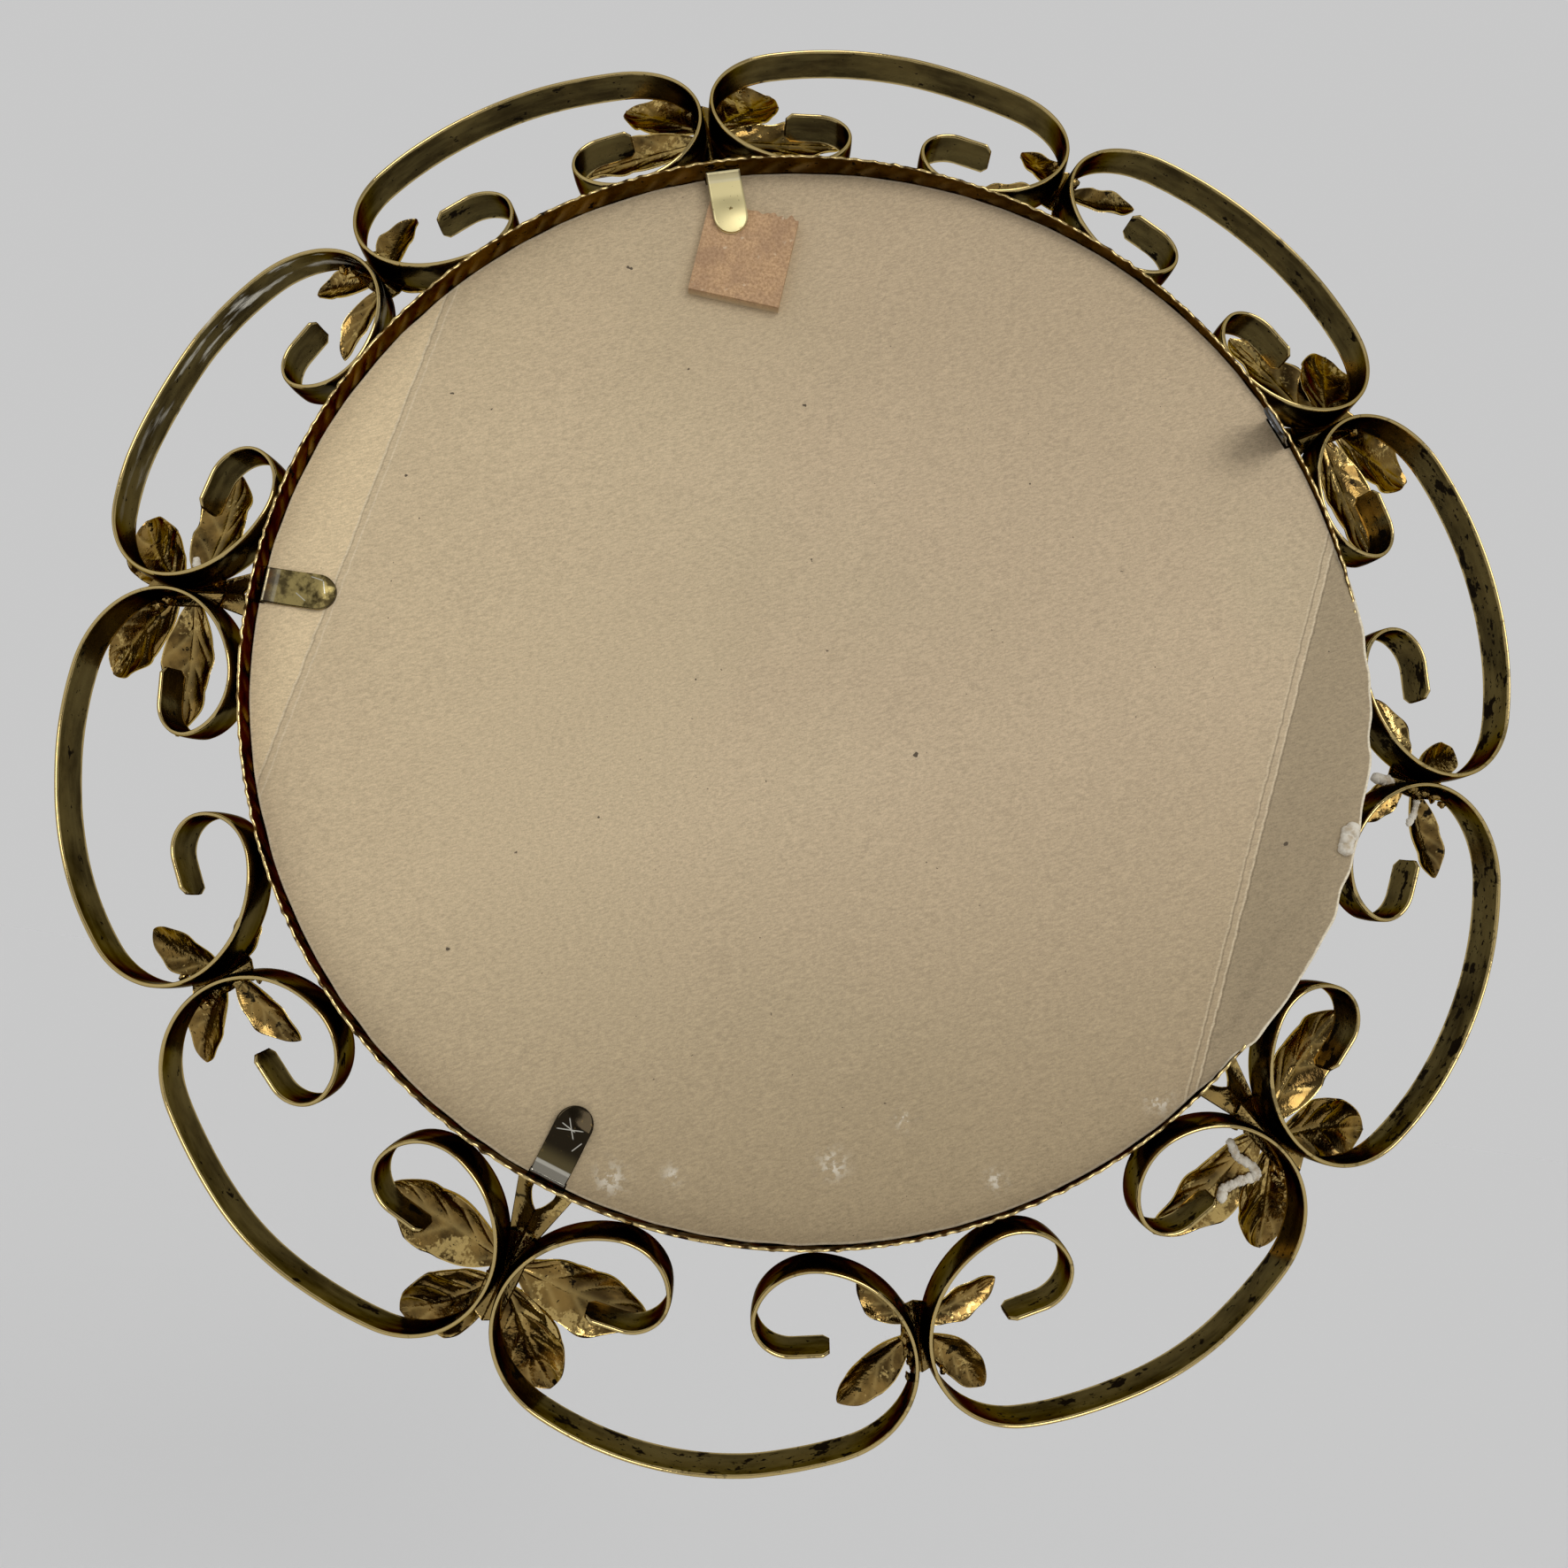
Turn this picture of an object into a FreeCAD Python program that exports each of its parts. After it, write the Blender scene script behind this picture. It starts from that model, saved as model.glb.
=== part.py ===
import FreeCAD, Part
import math
import os

import Sketcher

# Convex wall mirror with a wreath of strip scrolls.
# It hangs upright: +Z is up, the glass faces -Y and the wall is on the +Y side.
# The origin is the point of the top scroll that hangs on a nail.
# Ring coordinates have their centre on the ring's axis in the plane of its back edge,
# and depth is counted forwards from that plane.

Vector = FreeCAD.Vector
Rotation = FreeCAD.Rotation
Placement = FreeCAD.Placement

SCROLL_COUNT = 10
SEAT_SAMPLES = 90
FIT_ROUNDS = 30

# Driving sizes, in millimetres and degrees
SIZES = [
    ("ring_radius", 139.0),
    ("ring_wall", 0.6),
    ("ring_depth", 20.0),
    ("moulding_start", 10.0),
    ("moulding_full", 13.0),
    ("moulding_proud", 2.0),
    ("lip_width", 6.0),
    ("lip_sheet", 0.8),
    ("glass_thickness", 3.0),
    ("glass_bulge", 22.0),
    ("glass_gap", 0.1),
    ("card_recess", 7.0),
    ("card_thickness", 1.2),
    ("card_bend_offset", 20.0),
    ("card_lift", 6.0),
    ("edge_clearance", 0.3),
    ("packing_width", 6.0),
    ("square_width", 25.0),
    ("square_height", 27.0),
    ("square_thickness", 3.0),
    ("square_turn_angle", 20.0),
    ("square_aside", 2.0),
    ("square_overlap", 7.5),
    ("clip_width", 9.0),
    ("clip_sheet", 0.8),
    ("clip_gap", 0.3),
    ("clip_seam", 0.05),
    ("finger_length", 18.0),
    ("finger_gap", 0.1),
    ("open_finger_angle", 58.0),
    ("strip_width", 8.5),
    ("strip_thickness", 1.3),
    ("corner_clip", 1.6),
    ("scroll_slope_angle", 22.0),
    ("scroll_setback", 8.8),
    ("crown_above_sides", 33.4),
    ("shoulder_radius", 27.2),
    ("curl_lower_radius", 15.5),
    ("curl_upper_radius", 9.5),
    ("curl_half_gap", 9.5),
    ("stub_length", 9.0),
    ("stub_dip_angle", 12.0),
    ("scroll_gap", 0.3),
    ("ring_seat_gap", 0.2),
    ("leaf_sheet", 0.8),
    ("leaf_lift", 0.3),
    ("wide_leaf_width", 15.0),
    ("wide_leaf_bulge", 2.2),
    ("outer_leaf_width", 15.0),
    ("outer_leaf_bulge", 2.0),
    ("narrow_leaf_width", 8.5),
    ("narrow_leaf_bulge", 1.4),
    ("collar_overlap", 2.5),
    ("collar_outreach", 8.0),
    ("collar_half_angle", 26.0),
    ("small_collar_half_angle", 18.0),
]

doc = FreeCAD.newDocument("WitchMirror")
sheet = doc.addObject("Spreadsheet::Sheet", "Sizes")
for row, (alias, value) in enumerate(SIZES, start=1):
    sheet.set(f"A{row}", alias.replace("_", " "))
    sheet.set(f"B{row}", str(value))
    sheet.setAlias(f"B{row}", alias)
doc.recompute()


def size(alias):
    """Value of one driving size."""
    return float(sheet.get(alias))


# Scroll outline: every arc turns the same way, so the strip's outer face has the arcs' radii
# and its inner face the same centres with the strip's thickness taken off.

half_pitch = math.pi / SCROLL_COUNT
slope = math.radians(size("scroll_slope_angle"))
stub_dip = math.radians(size("stub_dip_angle"))
foot_u = size("curl_half_gap") + size("curl_lower_radius")
front_inset = size("strip_width") * math.sin(slope)


def scroll_arcs(half_width):
    """Arcs of the right half from the crown to the stub: name, centre, radius, start and end angle."""
    lower = half_width - foot_u
    above = size("crown_above_sides")
    shoulder = size("shoulder_radius")
    shoulder_u = half_width - shoulder
    crown = (shoulder_u ** 2 + above ** 2 - shoulder ** 2) / (2 * (above - shoulder))
    crown_v = lower + above - crown
    turn = math.atan2(lower - crown_v, shoulder_u)
    curl_low = size("curl_lower_radius")
    curl_up = size("curl_upper_radius")
    curl_up_u = size("curl_half_gap") + curl_up
    return [
        ("crown", (0.0, crown_v), crown, turn, math.pi / 2),
        ("shoulder", (shoulder_u, lower), shoulder, 0.0, turn),
        ("lower", (foot_u, lower), lower, -math.pi / 2, 0.0),
        ("curl_low", (foot_u, curl_low), curl_low, math.pi, 1.5 * math.pi),
        ("curl_up", (curl_up_u, curl_low), curl_up, math.pi / 2 - stub_dip, math.pi),
    ]


def arc_points(arcs, names):
    """Points along the named arcs, for measuring where the scroll meets its neighbours."""
    points = []
    for name, (cu, cv), radius, start, end in arcs:
        if name not in names:
            continue
        for step in range(SEAT_SAMPLES + 1):
            angle = start + (end - start) * step / SEAT_SAMPLES
            points.append((cu + radius * math.cos(angle), cv + radius * math.sin(angle)))
    return points


def seat_height(arcs):
    """Height up the slope at which the front edge of the curls just clears the ring's moulding."""
    reach = size("ring_radius") + size("moulding_proud") + size("ring_seat_gap")
    heights = []
    for u, v in arc_points(arcs, ("curl_low", "lower")):
        if u < reach:
            level = math.sqrt(reach ** 2 - u ** 2) - size("ring_radius") + front_inset
            heights.append(level / math.cos(slope) - v)
    return max(heights)


def neighbour_excess(arcs, seat):
    """How far the front edge of the scroll's side passes the plane shared with its neighbour."""
    excess = []
    for u, v in arc_points(arcs, ("shoulder", "lower")):
        radial = size("ring_radius") + (seat + v) * math.cos(slope) - front_inset
        excess.append(u * math.cos(half_pitch) - radial * math.sin(half_pitch))
    return max(excess) + size("scroll_gap") / 2


half_width = foot_u * 2
for _ in range(FIT_ROUNDS):
    arcs = scroll_arcs(half_width)
    seat = seat_height(arcs)
    half_width -= neighbour_excess(arcs, seat) / math.cos(half_pitch)
arcs = scroll_arcs(half_width)
seat = seat_height(arcs)
lower_radius = half_width - foot_u
scroll_radius = size("ring_radius") + seat * math.cos(slope)
scroll_depth = size("scroll_setback") + seat * math.sin(slope)

# The nail touches the inner face of the top scroll's crown, half way across the strip.
nail_v = lower_radius + size("crown_above_sides") - size("strip_thickness")
nail_across = size("strip_width") / 2
nail_radius = scroll_radius + nail_v * math.cos(slope) - nail_across * math.sin(slope)
nail_depth = scroll_depth + nail_v * math.sin(slope) + nail_across * math.cos(slope)
to_part = Placement(Vector(0, nail_depth, -nail_radius), Rotation())
AXIS_X = Vector(1, 0, 0)
AXIS_Y = Vector(0, 1, 0)
AXIS_Z = Vector(0, 0, 1)
forwards = Placement(Vector(0, 0, 0), Rotation(AXIS_X, 180))


def round_ring(angle_deg):
    """Turn about the ring's axis: 0 is up, positive is clockwise seen from behind."""
    return Placement(Vector(0, 0, 0), Rotation(AXIS_Y, -angle_deg))


def scroll_place(angle_deg):
    """Ring coordinates of a scroll: x along the ring, y up the slope, z forwards through the strip."""
    lean = Rotation(AXIS_X, 90 + size("scroll_slope_angle"))
    return round_ring(angle_deg) * Placement(Vector(0, -scroll_depth, scroll_radius), lean)


def origin_plane(body, role):
    """One of a body's own base planes."""
    return next(item for item in body.Origin.OriginFeatures if item.Role == role)


def new_body(label):
    """A body with an empty sketch on its own XY plane."""
    body = doc.addObject("PartDesign::Body", label)
    body.Label = label
    sketch = body.newObject("Sketcher::SketchObject", label + "_sketch")
    sketch.AttachmentSupport = [(origin_plane(body, "XY_Plane"), "")]
    sketch.MapMode = "FlatFace"
    return body, sketch


def total(words):
    """Value of a sum of sizes, written as 'one + two - three'; no words make zero."""
    result = 0.0
    sign = 1
    for word in words.split():
        if word in "+-":
            sign = 1 if word == "+" else -1
        else:
            result += sign * size(word)
    return result


def bound(words):
    """The same sum as an expression on the spreadsheet."""
    return " ".join(word if word in "+-" else "Sizes." + word for word in words.split())


def bound_polygon(sketch, corners):
    """Closed polygon with each corner held across and along by sums of the driving sizes."""
    points = [Vector(total(across), total(along), 0) for across, along in corners]
    count = len(points)
    for index in range(count):
        sketch.addGeometry(Part.LineSegment(points[index], points[(index + 1) % count]))
    for index in range(count):
        sketch.addConstraint(Sketcher.Constraint("Coincident", index, 2, (index + 1) % count, 1))
    for index, (across, along) in enumerate(corners):
        for kind, axis, words in (("DistanceX", -2, across), ("DistanceY", -1, along)):
            if not words:
                sketch.addConstraint(Sketcher.Constraint("PointOnObject", index, 1, axis))
                continue
            held = sketch.addConstraint(Sketcher.Constraint(kind, -1, 1, index, 1, total(words)))
            sketch.setExpression(f"Constraints[{held}]", bound(words))


def revolve(body, sketch):
    """Full turn of a sketch about its own upright axis."""
    turned = body.newObject("PartDesign::Revolution", body.Name + "_turned")
    turned.Profile = sketch
    turned.ReferenceAxis = (sketch, ["V_Axis"])
    turned.Angle = 360
    body.Tip = turned


# Bezel ring: thin wall with a proud moulding at the front and a lip turned inwards over the glass

parts = []

ring, ring_sketch = new_body("bezel_ring")
bound_polygon(ring_sketch, [
    ("ring_radius - ring_wall", ""),
    ("ring_radius", ""),
    ("ring_radius", "moulding_start"),
    ("ring_radius + moulding_proud", "moulding_full"),
    ("ring_radius + moulding_proud", "ring_depth"),
    ("ring_radius - lip_width", "ring_depth"),
    ("ring_radius - lip_width", "ring_depth - lip_sheet"),
    ("ring_radius + moulding_proud - ring_wall", "ring_depth - lip_sheet"),
    ("ring_radius + moulding_proud - ring_wall", "moulding_full"),
    ("ring_radius - ring_wall", "moulding_start"),
])
revolve(ring, ring_sketch)
ring.Placement = to_part * forwards
parts.append(ring)

# Filling of the ring: everything inside keeps clear of the clip legs that stand along the wall

clip_radius = math.hypot(size("ring_radius") - size("ring_wall") - size("clip_gap"), size("clip_width") / 2)
clip_outer = 2 * (size("ring_radius") - size("ring_wall") - size("clip_gap")) - clip_radius
fill_radius = clip_outer - size("clip_sheet") - size("edge_clearance")

# Convex glass: a spherical shell whose front bears on the inner edge of the lip

lip_inner = size("ring_radius") - size("lip_width")
ball = (fill_radius ** 2 + size("glass_bulge") ** 2) / (2 * size("glass_bulge"))
lip_back = size("ring_depth") - size("lip_sheet")
ball_depth = lip_back - size("glass_gap") - math.sqrt(ball ** 2 - lip_inner ** 2)
ball_inner = ball - size("glass_thickness")
rim_front = ball_depth + math.sqrt(ball ** 2 - fill_radius ** 2)
rim_back = ball_depth + math.sqrt(ball_inner ** 2 - fill_radius ** 2)


def rim_angle(radius):
    """Angle at the ball's centre from the mirror's rim to its axis."""
    return math.acos(fill_radius / radius)


glass, glass_sketch = new_body("mirror_glass")
ball_centre = Vector(0, ball_depth, 0)
for radius in (ball, ball_inner):
    circle = Part.Circle(ball_centre, AXIS_Z, radius)
    glass_sketch.addGeometry(Part.ArcOfCircle(circle, rim_angle(radius), math.pi / 2))
glass_sketch.addGeometry(Part.LineSegment(Vector(fill_radius, rim_front, 0), Vector(fill_radius, rim_back, 0)))
apex = [Vector(0, ball_depth + radius, 0) for radius in (ball, ball_inner)]
glass_sketch.addGeometry(Part.LineSegment(apex[0], apex[1]))
revolve(glass, glass_sketch)
glass.Placement = to_part * forwards
parts.append(glass)

# Backing card: flat on one side and bent so that the other side, under the open clip, lifts out of the ring

lay_flat = Rotation(AXIS_X, 90)
card_front = size("card_recess") + size("card_thickness")
card_rise_share = size("card_lift") / (fill_radius + size("card_bend_offset"))


def card_depth(across):
    """Depth of the card's back face at a place across the ring."""
    return size("card_recess") - max(size("card_bend_offset") - across, 0) * card_rise_share


bent_sheet, bent_sketch = new_body("card_bent_sheet")
card_places = [2 * fill_radius, size("card_bend_offset"), -2 * fill_radius]
card_corners = [Vector(across, -card_depth(across), 0) for across in card_places]
card_corners += [corner - AXIS_Y * size("card_thickness") for corner in reversed(card_corners)]
for start, end in zip(card_corners, card_corners[1:] + card_corners[:1]):
    bent_sketch.addGeometry(Part.LineSegment(start, end))
bent_pad = bent_sheet.newObject("PartDesign::Pad", "card_bent_pad")
bent_pad.Profile = bent_sketch
bent_pad.Length = 4 * fill_radius
bent_pad.Midplane = True
bent_sheet.Tip = bent_pad
card_round = doc.addObject("Part::Cylinder", "card_round")
card_round.Radius = fill_radius
card_round.Height = 2 * fill_radius
card_round.Placement = Placement(Vector(0, fill_radius, 0), lay_flat)
card = doc.addObject("Part::Common", "backing_card")
card.Label = "backing_card"
card.Base = bent_sheet
card.Tool = card_round
card.Placement = to_part
parts.append(card)


# Packing ring that presses the glass forwards

packing_back = card_front
packing_outer = doc.addObject("Part::Cylinder", "packing_outer")
packing_outer.Radius = fill_radius
packing_outer.Height = rim_back - packing_back
packing_hole = doc.addObject("Part::Cylinder", "packing_hole")
packing_hole.Radius = fill_radius - size("packing_width")
packing_hole.Height = rim_back - packing_back
packing = doc.addObject("Part::Cut", "packing_ring")
packing.Label = "packing_ring"
packing.Base = packing_outer
packing.Tool = packing_hole
packing.Placement = to_part * Placement(Vector(0, -packing_back, 0), lay_flat)
parts.append(packing)

# Hardboard square wedged between the card and the top clip's finger

CLIP_PITCHES = {"top": -0.5, "right": 1.5, "bottom": 5.5, "left": 7.5}
pitch_deg = 360 / SCROLL_COUNT


def at_clip(name):
    """Turn about the ring's axis to a clip, which stands between two scrolls."""
    return round_ring(CLIP_PITCHES[name] * pitch_deg)


square =doc.addObject("Part::Box", "packing_square")
square.Label = "packing_square"
square.setExpression("Length", "Sizes.square_width")
square.setExpression("Width", "Sizes.square_thickness")
square.setExpression("Height", "Sizes.square_height")
square_radius = clip_outer - size("finger_length") + size("square_overlap") - size("square_height") / 2
square_turn = Rotation(AXIS_Y, -size("square_turn_angle"))
square_centre = Placement(Vector(-size("square_aside"), 0, square_radius), square_turn)
square_corner = Vector(-size("square_width") / 2, -size("card_recess"), -size("square_height") / 2)
square.Placement = to_part * at_clip("top") * square_centre * Placement(square_corner, Rotation())
parts.append(square)

# Clips: a leg soldered inside the wall, and a finger that folds about the leg's end

sheet_half = size("clip_sheet") / 2
hinge_radius = clip_outer - sheet_half
OPEN_ANGLES = {"right": size("open_finger_angle")}
leg_end = rim_back - size("edge_clearance")


def hinge_depth(name):
    """Depth of a clip's fold: its closed finger lies just behind the card or the hardboard."""
    support = card_depth(-hinge_radius * math.sin(math.radians(CLIP_PITCHES[name] * pitch_deg)))
    if name == "top":
        support -= size("square_thickness")
    return support - size("finger_gap") - sheet_half


def clip_finger(name):
    """Flat finger with a round tip and a round root on the fold's axis."""
    label = "clip_finger_" + name
    blade = doc.addObject("Part::Box", label + "_blade")
    blade.setExpression("Length", "Sizes.clip_width")
    blade.setExpression("Width", "Sizes.finger_length - Sizes.clip_width / 2")
    blade.setExpression("Height", "Sizes.clip_sheet")
    blade.Placement.Base = Vector(-size("clip_width") / 2, 0, -sheet_half)
    tip = doc.addObject("Part::Cylinder", label + "_tip")
    tip.setExpression("Radius", "Sizes.clip_width / 2")
    tip.setExpression("Height", "Sizes.clip_sheet")
    tip.Placement.Base = Vector(0, size("finger_length") - size("clip_width") / 2, -sheet_half)
    root = doc.addObject("Part::Cylinder", label + "_root")
    root.setExpression("Radius", "Sizes.clip_sheet / 2")
    root.setExpression("Height", "Sizes.clip_width")
    root.Placement = Placement(Vector(-size("clip_width") / 2, 0, 0), Rotation(AXIS_Y, 90))
    finger = doc.addObject("Part::MultiFuse", label)
    finger.Label = label
    finger.Shapes = [blade, tip, root]
    fold = Rotation(AXIS_X, OPEN_ANGLES.get(name, 0) - 90)
    at_hinge = Placement(Vector(0, -hinge_depth(name), hinge_radius), fold)
    finger.Placement = to_part * at_clip(name) * at_hinge
    return finger


def clip_leg(name):
    """Straight leg along the ring's wall, from just under the fold to the packing ring."""
    label = "clip_leg_" + name
    start = hinge_depth(name) + sheet_half + size("clip_seam")
    leg = doc.addObject("Part::Box", label)
    leg.Label = label
    leg.setExpression("Length", "Sizes.clip_width")
    leg.Width = leg_end - start
    leg.setExpression("Height", "Sizes.clip_sheet")
    at_wall = Vector(-size("clip_width") / 2, -leg_end, hinge_radius - sheet_half)
    leg.Placement = to_part * at_clip(name) * Placement(at_wall, Rotation())
    return leg


for clip in CLIP_PITCHES:
    parts.append(clip_leg(clip))
    parts.append(clip_finger(clip))

# Scrolls: one bent strip each, padded across its width, with clipped corners at both stub ends


def stub_ends(inset):
    """Start and end of the straight stub on the strip's outer face, or on a face set in from it."""
    centre_u, centre_v = arcs[-1][1]
    reach = arcs[-1][2] - inset
    start = Vector(centre_u + reach * math.sin(stub_dip), centre_v + reach * math.cos(stub_dip), 0)
    return start, start + Vector(math.cos(stub_dip), -math.sin(stub_dip), 0) * size("stub_length")


def mirrored(point, side):
    """Point on the right half, or its mirror image on the left."""
    return Vector(side * point.x, point.y, 0)


def strip_edges():
    """Edges of the strip's outline: both faces, the straight stubs and the two ends."""
    edges = []
    for inset in (0, size("strip_thickness")):
        for name, (cu, cv), radius, start, end in arcs:
            circle = Part.Circle(Vector(cu, cv, 0), AXIS_Z, radius - inset)
            if name == "crown":
                edges.append(Part.ArcOfCircle(circle, start, math.pi - start))
                continue
            edges.append(Part.ArcOfCircle(circle, start, end))
            mirror_circle = Part.Circle(Vector(-cu, cv, 0), AXIS_Z, radius - inset)
            edges.append(Part.ArcOfCircle(mirror_circle, math.pi - end, math.pi - start))
        for side in (1, -1):
            start, end = stub_ends(inset)
            edges.append(Part.LineSegment(mirrored(start, side), mirrored(end, side)))
    for side in (1, -1):
        outer = stub_ends(0)[1]
        inner = stub_ends(size("strip_thickness"))[1]
        edges.append(Part.LineSegment(mirrored(outer, side), mirrored(inner, side)))
    return edges


def stub_corner_names(shape):
    """Names of the short edges across the strip's thickness at both stub ends."""
    middle = (stub_ends(0)[1] + stub_ends(size("strip_thickness"))[1]) * 0.5
    names = []
    for index, edge in enumerate(shape.Edges, start=1):
        centre = edge.CenterOfMass
        at_end = math.hypot(abs(centre.x) - middle.x, centre.y - middle.y) < size("strip_thickness") / 4
        if at_end and edge.Length < size("strip_thickness") * 1.5:
            names.append(f"Edge{index}")
    return names


def scroll(number):
    """One C-scroll of the wreath."""
    body, sketch = new_body(f"scroll_{number:02d}")
    sketch.addGeometry(strip_edges())
    pad = body.newObject("PartDesign::Pad", body.Name + "_strip")
    pad.Profile = sketch
    pad.setExpression("Length", "Sizes.strip_width")
    doc.recompute()
    clip = body.newObject("PartDesign::Chamfer", body.Name + "_corners")
    clip.Base = (pad, stub_corner_names(pad.Shape))
    clip.setExpression("Size", "Sizes.corner_clip")
    body.Tip = clip
    body.Placement = to_part * scroll_place((number - 1) * pitch_deg)
    return body


for number in range(1, SCROLL_COUNT + 1):
    parts.append(scroll(number))

# Sprigs: stamped sheet on the front edges of two neighbouring scrolls, mirrored about the plane between them.
# Places are shares of the lower radius, counted outwards from the foot of the curl and up the slope.

LARGE_LEAF_SHARES = [((0.918, 0.59), (-0.26, 1.16)), ((0.945, 0.80), (0.45, 1.83))]
SMALL_LEAF_SHARES = [((0.877, 0.596), (0.13, 0.653)), ((0.914, 0.66), (0.52, 1.36))]
FORK_SHARES = [(0.90, 0.44), (0.82, 0.52), (0.51, 0.14), (0.47, -0.35), (0.62, -0.35), (0.74, 0.10)]
BELLY_SHARE = 0.5
TILT_SHARE = 1.15

big = size("ring_radius") * 2
strip_front = size("strip_width")
meeting_angle = math.atan(math.cos(slope) * math.tan(half_pitch))
core_radius = size("ring_radius") + size("moulding_proud") + size("ring_seat_gap")
ring_core = Part.makeCylinder(core_radius, big, Vector(0, -big / 2, 0), AXIS_Y)
right_half = Part.makeBox(big, big * 2, big * 2, Vector(0, -big, -big))
ahead_of_strips = Part.makeBox(big * 2, big * 2, big, Vector(-big, -big, strip_front))


def on_plate(shares):
    """Point on the strips' front edges, from shares of the lower radius."""
    across, along = shares
    return Vector(-foot_u - across * lower_radius, along * lower_radius, strip_front)


def leaf(base, tip, width, bulge):
    """Pointed leaf, troughed along its vein, that rises forwards from its base."""
    axis = tip - base
    length = axis.Length
    inner = (width ** 2 / 4 + bulge ** 2) / (2 * bulge)
    belly = BELLY_SHARE * length
    sides = []
    for side in (1, -1):
        sides.append(Part.Arc(Vector(0, 0, 0), Vector(belly, side * width / 2, 0), Vector(length, 0, 0)).toShape())
    outline = Part.Face(Part.Wire(sides))
    outline.translate(Vector(0, 0, -width))
    blank = outline.extrude(Vector(0, 0, 2 * width))
    sunk = Vector(-length, 0, -inner)
    trough = Part.makeCylinder(inner + size("leaf_sheet"), 3 * length, sunk, AXIS_X)
    trough = trough.cut(Part.makeCylinder(inner, 3 * length, sunk, AXIS_X))
    shape = blank.common(trough)
    rise = math.degrees(math.atan((bulge + size("leaf_lift")) / belly)) * TILT_SHARE
    shape.rotate(Vector(0, 0, 0), AXIS_Y, -rise)
    shape.rotate(Vector(0, 0, 0), AXIS_Z, math.degrees(math.atan2(axis.y, axis.x)))
    shape.translate(base - AXIS_Z * (size("leaf_sheet") / 2))
    return shape.common(ahead_of_strips)


def collar(half_angle_deg):
    """Flat plate that hugs the strip where the scroll meets its neighbour."""
    centre = Vector(-foot_u, lower_radius, strip_front)
    inner = lower_radius - size("strip_thickness") - size("collar_overlap")
    outer = lower_radius + size("collar_outreach")
    spread = math.radians(half_angle_deg)
    middle = math.pi + meeting_angle
    ends = []
    for radius in (inner, outer):
        circle = Part.Circle(centre, AXIS_Z, radius)
        ends.append(Part.ArcOfCircle(circle, middle - spread, middle + spread))
    lines = [Part.LineSegment(ends[0].StartPoint, ends[1].StartPoint),
             Part.LineSegment(ends[0].EndPoint, ends[1].EndPoint)]
    edges = [item.toShape() for item in ends + lines]
    face = Part.Face(Part.Wire(Part.__sortEdges__(edges)))
    return face.extrude(Vector(0, 0, size("leaf_sheet")))


def fork():
    """Prong of the large sprig that runs down between the strips to the ring."""
    points = [on_plate(shares) for shares in FORK_SHARES]
    face = Part.Face(Part.makePolygon(points + points[:1]))
    return face.extrude(Vector(0, 0, size("leaf_sheet")))


def sprig(label, plates, leaves):
    """Both halves of a sprig for the junction at the top of the ring."""
    half = plates[0].fuse(plates[1:] + leaves)
    half.Placement = scroll_place(-pitch_deg / 2)
    half = half.common(right_half).cut(ring_core)
    whole = half.fuse(half.mirror(Vector(0, 0, 0), AXIS_X)).removeSplitter()
    feature = doc.addObject("Part::Feature", label)
    feature.Label = label
    if len(whole.Solids) != 1:
        raise RuntimeError(f"{label} is not one piece: {len(whole.Solids)} solids")
    feature.Shape = whole.Solids[0]
    return feature


def leaves_of(shares, sizes):
    """Leaves of one half of a sprig."""
    made = []
    for (base, tip), (width, bulge) in zip(shares, sizes):
        made.append(leaf(on_plate(base), on_plate(tip), size(width), size(bulge)))
    return made


for number in range(1, SCROLL_COUNT // 2 + 1):
    wide = [("wide_leaf_width", "wide_leaf_bulge"), ("outer_leaf_width", "outer_leaf_bulge")]
    large = sprig(f"large_sprig_{number:02d}", [collar(size("collar_half_angle")), fork()],
                  leaves_of(LARGE_LEAF_SHARES, wide))
    large.Placement = to_part * round_ring((2 * number - 2.5) * pitch_deg)
    parts.append(large)
    narrow = [("narrow_leaf_width", "narrow_leaf_bulge")] * 2
    small = sprig(f"small_sprig_{number:02d}", [collar(size("small_collar_half_angle"))],
                  leaves_of(SMALL_LEAF_SHARES, narrow))
    small.Placement = to_part * round_ring((2 * number - 1.5) * pitch_deg)
    parts.append(small)

# Build, test and write every piece

doc.recompute()
for item in doc.Objects:
    if "Invalid" in item.State or "Error" in item.State:
        raise RuntimeError(f"{item.Name} failed: {item.State}")
for item in parts:
    if item.Shape.isNull() or not item.Shape.isValid():
        raise RuntimeError(f"{item.Label} has no valid shape")
os.makedirs("parts", exist_ok=True)
for item in parts:
    item.Shape.exportStep(f"parts/{item.Label}.step")
print(f"half width {half_width:.2f}, lower radius {lower_radius:.2f}, seat {seat:.2f}, fill {fill_radius:.2f}")
print(f"nail radius {nail_radius:.4f}, nail depth {nail_depth:.4f}, hinge radius {hinge_radius:.4f}")
for clip in CLIP_PITCHES:
    print(f"{clip} clip: angle {CLIP_PITCHES[clip] * pitch_deg:.1f}, fold depth {hinge_depth(clip):.3f}")
for item in parts:
    print(item.Label, len(item.Shape.Solids), round(item.Shape.Volume, 2))
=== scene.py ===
# %% [markdown]
# # A witch mirror, seen from behind
#
# The mirror hangs upright with its glass facing -Y, and the camera stands behind it, where the back shows:
# a brass ring, a card back under folded clips, and a wreath of bent strip scrolls with stamped leaves.
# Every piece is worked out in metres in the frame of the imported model.

import math

import bpy
import numpy as np
from mathutils import Matrix, Vector


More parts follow.
